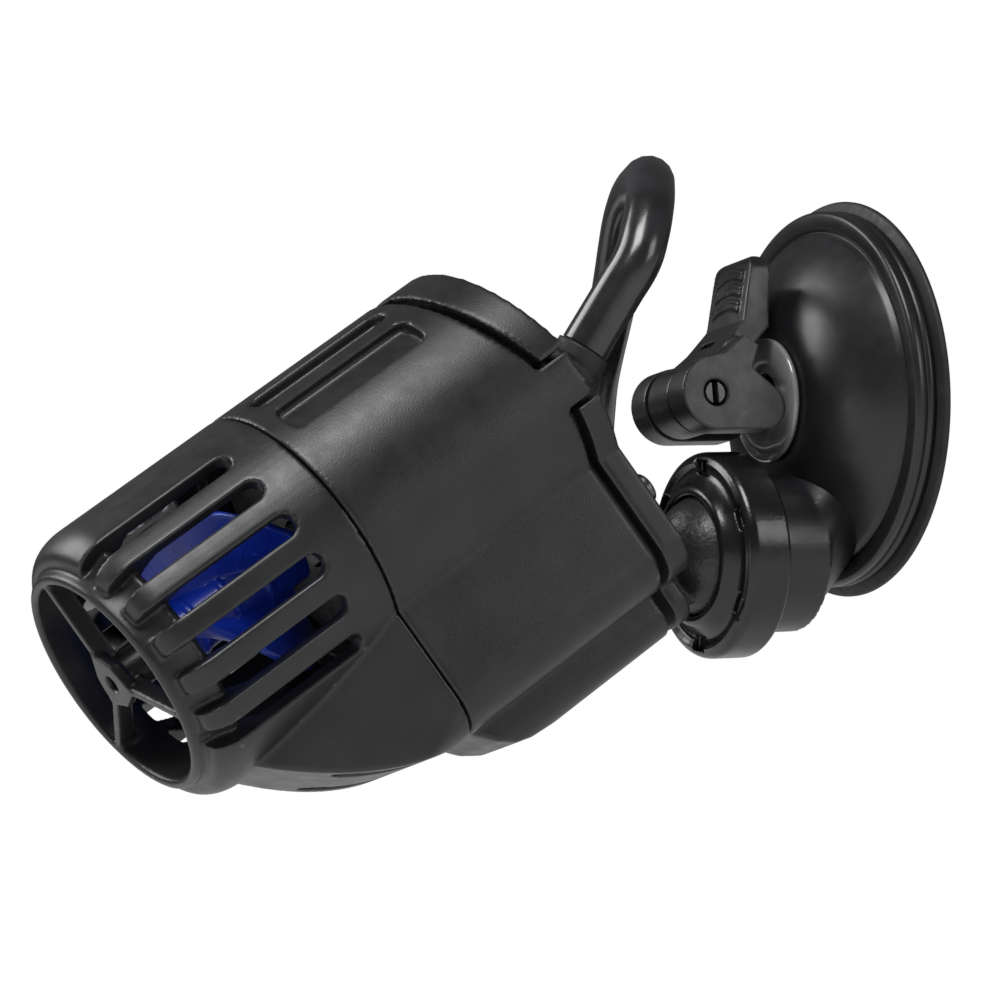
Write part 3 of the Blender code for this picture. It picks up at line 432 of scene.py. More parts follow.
VINYL = cord_jacket()
STEEL = metal("screw_steel", (0.09, 0.09, 0.095), (0.15, 0.15, 0.16), (0.28, 0.42))
PLATED = metal("pin_plating", (0.30, 0.30, 0.29), (0.42, 0.42, 0.41), (0.24, 0.38))
CORE = banded("core_laminations", (0.16, 0.16, 0.17), (0.34, 0.34, 0.36), 0.9, 0.5, "Z", (0.35, 0.5))
COPPER = banded("winding_copper", (0.40, 0.14, 0.05), (0.70, 0.32, 0.16), 0.9, 0.35, "X", (0.28, 0.4))


# Shape helpers


def shift(x=0.0, y=0.0, z=0.0):
    """A move in millimetres."""
    return Matrix.Translation(Vector((x, y, z)) * MM)


def polar(radius, degrees):
    angle = math.radians(degrees)
    return (radius * math.cos(angle), radius * math.sin(angle))


def arc(centre, radius, start, end, steps):
    """Points of an arc from start to end degrees, both ends included."""
    angles = [start + (end - start) * i / steps for i in range(steps + 1)]
    return [(centre[0] + polar(radius, a)[0], centre[1] + polar(radius, a)[1]) for a in angles]


def add(name, mesh, place):
    obj = bpy.data.objects.new(name, mesh)
    VISUAL.objects.link(obj)
    obj.matrix_world = place
    return obj


def mesh_of(builder):
    """A mesh made in millimetres by a bmesh builder."""
    mesh = bpy.data.meshes.new("mesh")
    work = bmesh.new()
    builder(work)
    bmesh.ops.scale(work, vec=(MM, MM, MM), verts=work.verts)
    bmesh.ops.recalc_face_normals(work, faces=work.faces)
    work.to_mesh(mesh)
    work.free()
    return mesh


def cylinder(name, radius, start, end, place, sides=SMALL_ROUND, end_radius=None):
    """A cylinder or cone along the frame's Z axis."""
    top = radius if end_radius is None else end_radius
    move = Matrix.Translation((0, 0, (start + end) / 2))

    def build(work):
        bmesh.ops.create_cone(
            work, cap_ends=True, segments=sides, radius1=radius, radius2=top, depth=end - start, matrix=move
        )

    return add(name, mesh_of(build), place)


def box(name, low, high, place):
    size = [b - a for a, b in zip(low, high)]
    middle = [(a + b) / 2 for a, b in zip(low, high)]
    spread = Matrix.Translation(middle) @ Matrix.Diagonal((*size, 1))

    def build(work):
        bmesh.ops.create_cube(work, size=1, matrix=spread)

    return add(name, mesh_of(build), place)


def turned(name, profile, place, sides=ROUND):
    """A turned solid about Z. The (radius, height) profile runs down its outer side."""
    points = [(radius * MM, 0.0, height * MM) for radius, height in profile]
    count = len(points)
    edges = [(i, i + 1) for i in range(count - 1)]
    if profile[0][0] > 0:
        edges.append((count - 1, 0))
    mesh = bpy.data.meshes.new(name)
    mesh.from_pydata(points, edges, [])
    obj = add(name, mesh, place)
    screw = obj.modifiers.new("Turn", "SCREW")
    screw.steps = sides
    screw.render_steps = sides
    screw.use_merge_vertices = True
    screw.merge_threshold = MM / 100
    return obj


def extruded(name, outlines, start, end, place):
    """Flat outlines in XY, the first one outside and the rest holes, extruded along Z."""
    curve = bpy.data.curves.new(name, "CURVE")
    curve.dimensions = "2D"
    curve.fill_mode = "BOTH"
    curve.extrude = (end - start) / 2 * MM
    for outline in outlines:
        spline = curve.splines.new("POLY")
        spline.points.add(len(outline) - 1)
        for point, (x, y) in zip(spline.points, outline):
            point.co = (x * MM, y * MM, 0.0, 1.0)
        spline.use_cyclic_u = True
    flat = add(name + "_outline", curve, Matrix.Identity(4))
    mesh = evaluated(flat)
    bpy.data.objects.remove(flat, do_unlink=True)
    work = bmesh.new()
    work.from_mesh(mesh)
    bmesh.ops.remove_doubles(work, verts=work.verts, dist=MM / 1000)
    bmesh.ops.recalc_face_normals(work, faces=work.faces)
    work.to_mesh(mesh)
    work.free()
    return add(name, mesh, place @ shift(z=(start + end) / 2))


def hull(name, points, place):
    """The convex solid around some points."""

    def build(work):
        for point in points:
            work.verts.new(point)
        found = bmesh.ops.convex_hull(work, input=work.verts)
        spare = [v for v in found["geom_interior"] if isinstance(v, bmesh.types.BMVert)]
        bmesh.ops.delete(work, geom=spare, context="VERTS")

    return add(name, mesh_of(build), place)


def rod(name, points, radius, place):
    """A round rod along points in millimetres."""
    curve = bpy.data.curves.new(name, "CURVE")
    curve.dimensions = "3D"
    curve.bevel_depth = radius * MM
    curve.bevel_resolution = 3
    curve.use_fill_caps = True
    spline = curve.splines.new("POLY")
    spline.points.add(len(points) - 1)
    for target, point in zip(spline.points, points):
        target.co = (*(Vector(point) * MM), 1.0)
    return baked(add(name, curve, place))


def evaluated(obj):
    bpy.context.view_layer.update()
    return bpy.data.meshes.new_from_object(obj.evaluated_get(bpy.context.evaluated_depsgraph_get()))


def baked(obj):
    """The object with its modifiers worked out, as a plain mesh."""
    mesh = evaluated(obj)
    name = obj.name
    place = obj.matrix_world.copy()
    bpy.data.objects.remove(obj, do_unlink=True)
    return add(name, mesh, place)


def combine(target, others, operation):
    """Works out the Booleans and removes the other solids."""
    for other in others:
        step = target.modifiers.new(operation.title(), "BOOLEAN")
        step.operation = operation
        step.solver = "EXACT"
        step.object = other
    made = baked(target)
    for other in others:
        bpy.data.objects.remove(other, do_unlink=True)
    return made


def join(target, *others):
    return combine(target, others, "UNION")


def cut(target, *others):
    return combine(target, others, "DIFFERENCE")


def keep(target, *others):
    return combine(target, others, "INTERSECT")


def gathered(name, pieces, place=None):
    """Several solids as one mesh, in the frame asked for."""
    place = place or Matrix.Identity(4)
    work = bmesh.new()
    for piece in pieces:
        mesh = evaluated(piece)
        mesh.transform(place.inverted() @ piece.matrix_world)
        work.from_mesh(mesh)
        bpy.data.objects.remove(piece, do_unlink=True)
    whole = bpy.data.meshes.new(name)
    work.to_mesh(whole)
    work.free()
    return add(name, whole, place)


def moulded(obj, voxel=0.35, rounds=6):
    """Re-meshes a solid finely and eases its edges, as a mould does."""
    mesher = obj.modifiers.new("Remesh", "REMESH")
    mesher.mode = "VOXEL"
    mesher.voxel_size = voxel * MM
    ease = obj.modifiers.new("Ease", "SMOOTH")
    ease.factor = 0.5
    ease.iterations = rounds
    return baked(obj)


def dress(obj, material, body, slot, *nodes):
    """Gives a finished piece its material and body, and hides the CAD nodes that it stands for. The slot argument is
    not used.
    """
    obj.data.materials.clear()
    obj.data.materials.append(material)
    if obj.type == "MESH":
        obj.data.shade_smooth()
        obj.data.set_sharp_from_angle(angle=SHARP)
    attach(obj, body)
    if nodes:
        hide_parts(*nodes)
    return obj


# Lead


def smooth_line(points, count):
    """Evenly spread points along a Catmull-Rom curve through the given points."""
    knots = [Vector(point) for point in points]
    knots = [2 * knots[0] - knots[1]] + knots + [2 * knots[-1] - knots[-2]]
    fine = []
    for a, b, c, d in zip(knots, knots[1:], knots[2:], knots[3:]):
        for i in range(20):
            t = i / 20
            fine.append(
                0.5 * (2 * b + (c - a) * t + (2 * a - 5 * b + 4 * c - d) * t * t + (3 * b - a - 3 * c + d) * t**3)
            )
    fine.append(knots[-2])
    lengths = [0.0]
    for a, b in zip(fine, fine[1:]):
        lengths.append(lengths[-1] + (b - a).length)
    spread = []
    for i in range(count):
        wanted = lengths[-1] * i / (count - 1)
        spread.append(fine[min(range(len(fine)), key=lambda k: abs(lengths[k] - wanted))])
    return spread


def relief_frame():
    """The strain relief's frame: its tip at the origin and its axis along Z."""
    turn = Vector(RELIEF_AXIS).to_track_quat("Z", "X").to_matrix().to_4x4()
    return PUMP_FRAME @ shift(*RELIEF_TIP) @ turn


def eased(part):
    """From 0 to 1 with no jump in slope."""
    part = min(max(part, 0.0), 1.0)
    return part * part * (3 - 2 * part)


def coil_points():
    """Turns wound layer by layer, in the coil's frame. Later turns change layer earlier, so that none meet."""
    turns = len(LAYERS) - 1
    points = []
    for index in range(1, turns * 360 // COIL_STEP):
        travelled = index * COIL_STEP
        turn = int(travelled // 360)
        within = travelled - 360 * turn
        if turn == turns - 1 and within > COIL_EXIT:
            break
        change = 20.0 + (LAYER_CHANGE + 10.0) * (turns - 1 - turn)
        part = eased((within - change) / LAYER_CHANGE)
        (r0, z0), (r1, z1) = LAYERS[turn], LAYERS[turn + 1]
        x, y = polar(r0 + (r1 - r0) * part, COIL_ENTRY + travelled)
        points.append(Vector((x, y, z0 + (z1 - z0) * part)))
    return points


def tail_points():
    """The last stretch, which climbs onto the coil and follows an arc across its face."""
    middle = Vector((*TAIL_CENTRE, TAIL_HEIGHT))
    steps = 12
    return [
        middle + Vector((*polar(TAIL_R, TAIL_START + TAIL_TURN * i / steps), 0)) for i in range(steps + 1)
    ]


def lead():
    tip = relief_frame().translation / MM
    along = (relief_frame().to_3x3() @ Vector((0, 0, 1))) * 9
    entry = COIL_FRAME @ (Vector((*polar(LAYERS[0][0], COIL_ENTRY), LAYERS[0][1])) * MM) / MM
    points = smooth_line((tip, tip + along) + LEAD_ROUTE + (entry,), LEAD_STEPS)
    points += [COIL_FRAME @ (point * MM) / MM for point in coil_points() + tail_points()]
    curve = bpy.data.curves.new("mains_lead", "CURVE")
    curve.dimensions = "3D"
    curve.bevel_depth = LEAD_R * MM
    curve.bevel_resolution = 6
    curve.resolution_u = 6
    curve.use_fill_caps = True
    spline = curve.splines.new("BEZIER")
    spline.bezier_points.add(len(points) - 1)
    for target, point in zip(spline.bezier_points, points):
        target.co = point * MM
        target.handle_left_type = "AUTO"
        target.handle_right_type = "AUTO"
    obj = add("mains_lead", curve, Matrix.Identity(4))
    dress(obj, VINYL, "pump", "gloss_black", "power_lead", "lead_coil", "lead_tail")
    length = sum((b - a).length for a, b in zip(points, points[1:])) * MM
    return obj, tip * MM, length


def plug_frame():
    tail = tail_points()
    along = (tail[-1] - tail[-2]).normalized()
    up = Vector((0, 0, 1))
    turn = Matrix((up.cross(along), up, along)).transposed().to_4x4()
    return COIL_FRAME @ shift(*tail[-1]) @ turn


def plug():
    """A flat two-pin plug with a ribbed sleeve, grip ridges and round-nosed pins."""
    place = plug_frame()
    middle = 6.0 - LEAD_R - 0.4
    outline = [(-9.0, -4.0), (-6.0, -6.0), (6.0, -6.0), (9.0, -4.0), (9.0, 4.0), (6.0, 6.0), (-6.0, 6.0), (-9.0, 4.0)]
    lifted = [(x, y + middle) for x, y in outline]
    shell = extruded("plug_shell", [lifted], 8.0, PLUG_LENGTH, place)
    sleeve = cylinder("sleeve", LEAD_R + 0.2, GAP, 9.0, place, end_radius=LEAD_R + 0.5)
    ridges = [
        box("ridge", (side * 8.9 - 0.35, middle - 3.0, station), (side * 8.9 + 0.35, middle + 3.0, station + 0.9), place)
        for side in (-1, 1)
        for station in (14.0, 17.0, 20.0, 23.0)
    ]
    body = moulded(gathered("plug_shell", [shell, sleeve] + ridges, place), 0.45, 8)
    made = [dress(body, RUBBER, "pump", "black_rubber", "plug_body")]
    for side, name in ((-1, "plug_pin_left"), (1, "plug_pin_right")):
        nose = arc((0.0, PLUG_LENGTH + 13.0), 2.0, 90, 0, 8)
        pin = turned(name + "_shank", nose + [(2.0, PLUG_LENGTH + GAP), (0.0, PLUG_LENGTH + GAP)], place @ shift(6.0 * side, middle), 48)
        made.append(dress(pin, PLATED, "pump", "brass", name))
    return made


def coil_tie():
    """A rounded strap round the coil's section."""
    place = COIL_FRAME @ Matrix.Rotation(math.radians(-60), 4, "Z") @ shift(COIL_MEAN_R)
    place = place @ Matrix.Rotation(math.radians(90), 4, "X")
    deep = COIL_HALF_DEPTH + GAP
    wide = COIL_HALF_WIDTH + GAP

    def loop(margin, corner):
        x, y = deep + margin - corner, wide + margin - corner
        return (
            arc((x, y), corner, 0, 90, 6) + arc((-x, y), corner, 90, 180, 6)
            + arc((-x, -y), corner, 180, 270, 6) + arc((x, -y), corner, 270, 360, 6)
        )

    strap = extruded("tie_strap", [loop(0.9, 3.0), loop(0.0, 2.1)], -3.0, 3.0, place)
    return dress(moulded(strap, 0.25, 4), RUBBER, "pump", "black_rubber", "coil_tie")


def cord():
    made, tip, length = lead()
    riders = plug() + [coil_tie()]


cord()


# Sections of the pump's body


def body_outline(inset=0.0):
    """The pump's section: a round body with a flat-sided lobe towards +Y."""
    radius = BODY_R - inset
    side = FLAT_X - inset
    end = LOBE_END - inset
    corner = max(LOBE_CORNER - inset, 1.0)
    crease = math.degrees(math.acos(side / radius))
    body = arc((0, 0), radius, crease, -180 - crease, 90)
    left = arc((corner - side, end - corner), corner, 180, 90, 12)
    right = arc((side - corner, end - corner), corner, 90, 0, 12)
    return body + left + right


def slanted(top, bottom, bend=2.0):
    """Side-view outline (station, offset) of everything behind a rear edge that leans forward at the top."""
    lean = (bottom - top) / (BODY_R + bend)
    outer_top = top - (CLEAR - BODY_R) * lean
    return [(outer_top, -CLEAR), (bottom, bend), (bottom, CLEAR), (2 * CLEAR, CLEAR), (2 * CLEAR, -CLEAR)]


def side_cutter(name, outline):
    flipped = [(-station, offset) for station, offset in outline]
    return extruded(name, [flipped], -CLEAR, CLEAR, PUMP_FRAME @ SIDE_VIEW)


def sector(name, inner, outer, start, end, low, high):
    outline = arc((0, 0), outer, start, end, 16) + arc((0, 0), inner, end, start, 16)
    return extruded(name, [outline], low, high, PUMP_FRAME)


# Cage


def lobe_profile(inset=0.0):
    """Side view of the cage's lobe: its underside falls away in a parabola towards the outlet."""
    drop = 15.0
    run = 28.5
    full = SEAM + 1.0
    steps = 24
    under = [(full - run * i / steps, LOBE_END + 0.2 - drop * (i / steps) ** 2 - inset) for i in range(steps + 1)]
    return [(full, 0.0)] + under + [(full - run, 0.0)]


def lobe_plan(inset=0.0):
    """Top view of the cage's lobe: its sides draw in towards the outlet."""
    front = SHOULDER + 1.0
    narrow = 7.4 - inset
    wide = FLAT_X + 0.4 - inset
    return [(SEAM + 1.0, wide), (SEAM + 1.0, -wide), (front, -narrow), (front, narrow)]


def cage_lobe(name, inset, start, end):
    lobe = extruded(name, [body_outline(inset)], start, end, PUMP_FRAME)
    plan_points = [(-station, x) for station, x in lobe_plan(inset)]
    plan = extruded(name + "_plan", [plan_points], 2.0, CLEAR, PUMP_FRAME @ PLAN_VIEW)
    return keep(lobe, side_cutter(name + "_side", lobe_profile(inset)), plan)


def slot_cutter(angle):
    """A slot with a round end, cut outwards along X from the axis and turned to its angle."""
    back = SLOT_END - SLOT_HALF
    outline = [(4.0, -SLOT_HALF)] + arc((-back, 0), SLOT_HALF, -90, -270, 16) + [(4.0, SLOT_HALF)]
    turn = Matrix.Rotation(math.radians(angle), 4, "Z") @ SIDE_VIEW
    return extruded("slot", [outline], BODY_R - 6.5, BODY_R + 3, PUMP_FRAME @ turn)


def cage_wall():
    nose = [
        (19.0 + 2.7 * math.sin(a), 1.8 + (SHOULDER + 1.0 - 1.8) * (1 - math.cos(a)))
        for a in [math.radians(90 - 9 * i) for i in range(11)]
    ]
    profile = [(0.0, SEAM - GAP / 2), (BODY_R, SEAM - GAP / 2)] + nose + [(0.0, 1.8)]
    return turned("cage_moulding", profile, PUMP_FRAME)


def cage_bore():
    inner = BODY_R - CAGE_WALL
    profile = [(0.0, SEAM + 1), (inner, SEAM + 1), (inner, 10.5), (17.5, 8.0), (17.5, 0.0), (0.0, 0.0)]
    return turned("cage_bore", profile, PUMP_FRAME)


def outlet_tube():
    """The outlet ring, which flares back into the ribs behind a concave shoulder."""
    lip = arc((OUTLET_R - 0.6, 0.6), 0.6, 0, -90, 5) + arc((OUTLET_BORE + 0.5, 0.5), 0.5, -90, -180, 5)
    flare = [(18.05 + 1.35 * (i / 6) ** 2, 1.6 + 4.6 * i / 6) for i in range(6, -1, -1)]
    return turned("outlet_tube", flare + lip + [(OUTLET_BORE, 4.0), (17.0, 7.4), (18.6, 7.4)], PUMP_FRAME)


def cage_spigot():
    profile = [
        (SPIGOT_R, SPIGOT_END), (SPIGOT_R, 34.3), (BODY_R - 1.1, 34.3), (BODY_R - 1.1, 32.6),
        (17.6, 32.6), (17.6, SPIGOT_END),
    ]
    return turned("cage_spigot", profile, PUMP_FRAME)


def grille():
    """Three thin spokes and a lobed hub plate that carries the front bush."""
    hub = cylinder("grille_hub", HUB_R, 0.0, 6.4, PUMP_FRAME)
    outline = [polar(5.2 if i % 4 == 0 else 3.9, SPOKE_ANGLES[0] + 30 * i) for i in range(12)]
    pieces = [extruded("grille_plate", [outline], 0.0, 1.6, PUMP_FRAME)]
    for angle in SPOKE_ANGLES:
        turn = PUMP_FRAME @ Matrix.Rotation(math.radians(angle), 4, "Z")
        pieces.append(box("spoke", (2.0, -0.65, 0.25), (17.1, 0.65, 3.2), turn))
    hub = join(hub, *pieces)
    return cut(
        hub,
        cylinder("hub_hole", 1.3, -1.0, 8.0, PUMP_FRAME),
        cylinder("bush_pocket", BUSH_R + GAP, 2.4, 8.0, PUMP_FRAME),
    )


def lobe_holes():
    """Long oval holes under the cage's lobe, one to each side."""
    holes = []
    for side in (-1, 1):
        outline = arc((-26.0, 8.4 * side), 1.7, 90, 270, 16) + arc((-18.0, 7.2 * side), 1.7, -90, 90, 16)
        holes.append(extruded("lobe_hole", [outline], 24.0, 40.0, PUMP_FRAME @ PLAN_VIEW))
    return holes


def front_cage():
    cage = join(cage_wall(), cage_lobe("lobe", 0.0, SHOULDER, SEAM - GAP / 2))
    cage = cut(cage, cage_lobe("lobe_hollow", CAGE_WALL, SHOULDER + 5, SEAM), cage_bore())
    angles = [SLOT_FIRST + SLOT_STEP * index for index in range(SLOT_COUNT)]
    slots = [slot_cutter(angle) for angle in angles] + [slot_cutter(180 - angle) for angle in angles]
    cage = cut(cage, gathered("slots", slots), gathered("lobe_holes", lobe_holes()))
    cage = gathered("cage_moulding", [cage, outlet_tube(), grille(), cage_spigot()], PUMP_FRAME)
    dress(moulded(cage, 0.3, 6), SATIN, "cage", "satin_black", "front_cage")


# Propeller


def blade(index):
    """One long screw-shaped blade, as a band swept round the hub while it moves back."""
    steps = 32
    inner = PROPELLER_HUB_R - 1.2
    pitch = math.radians(BLADE_TWIST) / BLADE_LENGTH

    def build(work):
        rows = []
        for i in range(steps + 1):
            part = i / steps
            tip = PROPELLER_R * (0.86 + 0.14 * math.sin(math.pi * part))
            angle = BLADE_TWIST * part + 360 / BLADE_COUNT * index
            station = BLADE_START + BLADE_LENGTH * part
            corners = []
            for radius, half in ((inner, BLADE_THICK / 2), (tip, BLADE_THICK / 3)):
                centre = Vector((*polar(radius, angle), station))
                across = Vector((*polar(1.0, angle + 90), -radius * pitch)).normalized()
                corners += [centre - across * half, centre + across * half]
            rows.append([work.verts.new(corners[k]) for k in (0, 1, 3, 2)])
        for low, high in zip(rows, rows[1:]):
            for k in range(4):
                work.faces.new((low[k], low[(k + 1) % 4], high[(k + 1) % 4], high[k]))
        work.faces.new(rows[0])
        work.faces.new(rows[-1])

    return add(f"blade_{index}", mesh_of(build), PUMP_FRAME)


def propeller():
    """The blades on a hub with three shallow rings."""
    profile = [
        (PROPELLER_HUB_R, HUB_REAR), (PROPELLER_HUB_R, HUB_FRONT + 2.0), (PROPELLER_HUB_R - 1.2, HUB_FRONT),
        (BORE_R, HUB_FRONT), (BORE_R, HUB_REAR),
    ]
    pieces = [turned("hub", profile, PUMP_FRAME)] + [blade(index) for index in range(BLADE_COUNT)]
    for station in (14.0, 20.0, 26.0):
        band = [(PROPELLER_HUB_R + 0.3, station + 0.8), (PROPELLER_HUB_R + 0.3, station), (3.0, station), (3.0, station + 0.8)]
        pieces.append(turned("hub_ring", band, PUMP_FRAME))
    whole = gathered("propeller_moulding", pieces, PUMP_FRAME)
    dress(moulded(whole, 0.25, 4), BLUE, "rotor", "blue_plastic", "propeller")


# Housing and rear cap


def keel_profile():
    return [
        (KEEL_START, 28.0), (KEEL_START, LOBE_END), (39.5, 38.6), (42.0, 40.4), (KEEL_FULL, 41.3),
        (50.0, KEEL_END), (2 * CLEAR, KEEL_END), (2 * CLEAR, 28.0),
    ]


def keel(name, start, end):
    """The raised rib along the lobe, with rounded lower corners."""
    corner = 4.0
    section = (
        [(-KEEL_HALF, 26.0)]
        + arc((corner - KEEL_HALF, KEEL_END - corner), corner, 180, 90, 12)
        + arc((KEEL_HALF - corner, KEEL_END - corner), corner, 90, 0, 12)
        + [(KEEL_HALF, 26.0)]
    )
    return keep(extruded(name, [section], start, end, PUMP_FRAME), side_cutter(name + "_side", keel_profile()))


def groove(angle, half):
    """A long shallow pocket with rounded corners in the housing's back."""
    corner = 1.6
    low, high = corner - GROOVE_END, -GROOVE_START - corner
    side = half - corner
    outline = (
        arc((low, side), corner, 90, 180, 8) + arc((low, -side), corner, 180, 270, 8)
        + arc((high, -side), corner, 270, 360, 8) + arc((high, side), corner, 0, 90, 8)
    )
    turn = Matrix.Rotation(math.radians(angle), 4, "Z") @ SIDE_VIEW
    return extruded("groove", [outline], BODY_R - 1.8, BODY_R + 4, PUMP_FRAME @ turn)


def motor_housing():
    housing = extruded("housing_moulding", [body_outline()], SEAM + GAP / 2, REAR + 1, PUMP_FRAME)
    housing = join(housing, keel("housing_keel", SEAM + 1, REAR + 1))
    housing = cut(
        housing,
        extruded("housing_hollow", [body_outline(WALL)], BULKHEAD_END, REAR + 9, PUMP_FRAME),
        cylinder("housing_mouth", SPIGOT_R + GAP, SEAM - 1, BULKHEAD, PUMP_FRAME, ROUND),
        side_cutter("housing_rear", slanted(REAR_TOP, REAR)),
    )
    housing = join(housing, cylinder("well", WELL_R + WELL_WALL, BULKHEAD, WELL_FLOOR + WELL_WALL, PUMP_FRAME, ROUND))
    housing = cut(
        housing,
        cylinder("well_bore", WELL_R, SEAM, WELL_FLOOR, PUMP_FRAME, ROUND),
        gathered("grooves", [groove(angle, half) for angle, half in GROOVES]),
    )
    tab = sector("tab", BODY_R - WALL, BODY_R, -3.5, 16, 69.0, 77.0)
    housing = gathered("housing_moulding", [housing, tab], PUMP_FRAME)
    dress(moulded(housing, 0.35, 4), SATIN, "pump", "satin_black", "motor_housing")


def rear_cap():
    cap = extruded("cap_moulding", [body_outline()], 60.0, CAP_BACK, PUMP_FRAME)
    cap = join(cap, keel("cap_keel", REAR - 2, CAP_BACK - 1.2))
    cap = cut(cap, side_cutter("cap_back", slanted(CAP_BACK_TOP, CAP_BACK)))
    cap = keep(cap, side_cutter("cap_front", slanted(REAR_TOP + CAP_GAP, REAR + CAP_GAP)))
    spigot = extruded("cap_spigot", [body_outline(WALL + GAP), body_outline(WALL + 2.0)], 64.4, 76.0, PUMP_FRAME)
    spigot = cut(spigot, side_cutter("spigot_back", slanted(REAR_TOP + CAP_GAP + 2, REAR + CAP_GAP + 2)))
    cap = join(cap, spigot)
    cap = cut(
        cap,
        sector("cap_notch", BODY_R - 4.0, BODY_R + 2, -5.5, 18, 60.0, 90.0),
        cylinder("lead_hole", LEAD_R + 1.5, -24, 4, relief_frame()),
        cylinder("stud_hole", STUD_R + GAP, 70, 90, PUMP_FRAME @ shift(y=BALL_OFFSET)),
    )
    dress(moulded(cap, 0.35, 6), SATIN, "pump", "satin_black", "rear_cap")


def cap_screws():
    """Pan heads with a cross recess."""
    for name, x in (("cap_screw_left", -12.0), ("cap_screw_right", 12.0)):
        place = PUMP_FRAME @ shift(x, 22.0)
        low, high = CAP_BACK + GAP, CAP_BACK + 1.7
        rim = arc((1.8, high - 0.6), 0.6, 90, 0, 8)
        head = turned(name + "_head", [(0.0, high)] + rim + [(2.4, low), (0.0, low)], place, SMALL_ROUND)
        cross = [
            box("cross", (-1.3, -0.3, high - 0.7), (1.3, 0.3, high + 1), place),
            box("cross", (-0.3, -1.3, high - 0.7), (0.3, 1.3, high + 1), place),
        ]
        dress(cut(head, *cross), STEEL, "pump", "steel", name)


def strain_relief():
    """A tapered sleeve with shallow flex grooves near its tip."""
    root, tip = LEAD_R + 1.1, LEAD_R + 0.4
    length = RELIEF_LENGTH
    outside = []
    steps = 60
    for i in range(steps + 1):
        height = -GAP - length * i / steps
        groove_depth = 0.25 * max(0.0, math.sin(2 * math.pi * i / 6)) if 6 < i < 36 else 0.0
        outside.append((tip + (root - tip) * i / steps - groove_depth, height))
    profile = outside + [(0.0, -GAP - length)]
    sleeve = turned("relief_sleeve", [(0.0, -GAP)] + profile, relief_frame(), 64)
    dress(sleeve, RUBBER, "pump", "black_rubber", "strain_relief")


# Ball joint and suction mount


def ball_stud():
    place = PUMP_FRAME @ shift(0, BALL_OFFSET, BALL_STATION)

    def build(work):
        bmesh.ops.create_uvsphere(work, u_segments=72, v_segments=36, radius=BALL_R)

    neck_low = (-NECK_HALF, -NECK_HALF, CAP_BACK + GAP - BALL_STATION)
    pieces = [
        add("ball", mesh_of(build), place),
        box("neck", neck_low, (NECK_HALF, NECK_HALF, 0), place),
        cylinder("stud", STUD_R, CAP_BACK - 3.4 - BALL_STATION, 0, place),
    ]
    dress(moulded(gathered("ball_moulding", pieces, place), 0.28, 5), COARSE, "ball", "gloss_black", "ball_stud")


def clamp_nut():
    """The ring nut: a polished dish with a raised inner lip, and windows through its floor."""
    dish = [(11.0 + 2.9 * i / 10, 28.2 - 0.3 * i / 10 - 0.9 * math.sin(math.pi * i / 10)) for i in range(11)]
    profile = [(9.2, 29.55), (9.7, 29.6), (10.2, 29.3), (10.6, 28.7)] + dish
    profile += arc((NUT_R - 1.6, 26.1), 1.6, 75, 0, 8)
    profile += [(NUT_R, NUT_BACK + 0.5), (NUT_R - 0.5, NUT_BACK), (12.0, NUT_BACK), (12.0, 23.3)]
    profile += [(10.0, 24.9), (9.9, 26.4), (9.5, 28.2), (NUT_OPENING, 29.1)]
    nut = turned("nut_moulding", profile, BOSS_FRAME, 128)
    windows = []
    for index in range(NUT_WINDOWS):
        place = BOSS_FRAME @ Matrix.Rotation(2 * math.pi * (index + 0.3) / NUT_WINDOWS, 4, "Z")
        windows.append(box("window", (11.9, -1.7, 26.3), (14.1, 1.7, 31.0), place))
    nut = cut(nut, gathered("windows", windows))
    dress(moulded(nut, 0.2, 4), POLISHED, "nut", "gloss_black", "clamp_nut")


def suction_disc():
    """The rubber cup, with a rolled rim and fine sealing rings on its face."""
    rim = arc((DISC_R - 0.55, 0.6), 0.55, 90, -80, 8)
    rings = []
    for radius in (28.0, 26.0, 24.0):
        rings += [(radius + 0.5, 0.0), (radius + 0.25, 0.25), (radius - 0.25, 0.25), (radius - 0.5, 0.0)]
    profile = [(8.5, 4.6), (12.0, 3.9), (20.0, 2.2), (26.0, DISC_THICK), (28.6, DISC_THICK)] + rim + rings
    profile += [(SEAL_R, 0.0), (12.0, 1.8), (6.4, 2.8), (6.4, 4.6)]
    dress(turned("disc_rubber", profile, WALL_FRAME, 160), RUBBER, "base", "black_rubber", "suction_disc")


def dome():
    """The bell: a flange ring with two grooves, and a dome that flattens at the top."""
    steps = 28
    outer = []
    for i in range(steps + 1):
        part = i / steps
        radius = DOME_TOP_R + (DOME_EDGE_R - DOME_TOP_R) * part
        outer.append((radius, DOME_EDGE_DEPTH + (DOME_TOP_DEPTH - DOME_EDGE_DEPTH) * (1 - part**1.8)))
    flange = [(25.0, 4.75), (25.2, 4.65), (25.35, 4.75), (25.6, 5.0), (26.2, 5.12), (27.0, 5.1)]
    flange += arc((27.5, 4.3), 0.8, 80, 0, 8)
    flange += [(28.3, 3.3), (28.1, 3.15), (28.1, 2.95), (28.3, 2.8), (28.3, DISC_THICK + GAP), (26.2, DISC_THICK + GAP)]
    inner = [(24.0, 3.7), (17.0, 8.0), (DOME_TOP_R, 11.3), (4.0, 11.5), (4.0, DOME_TOP_DEPTH)]
    dress(turned("bell_dome", outer + flange + inner, WALL_FRAME, 192), TURNED, "base", "satin_black", "base_bell")


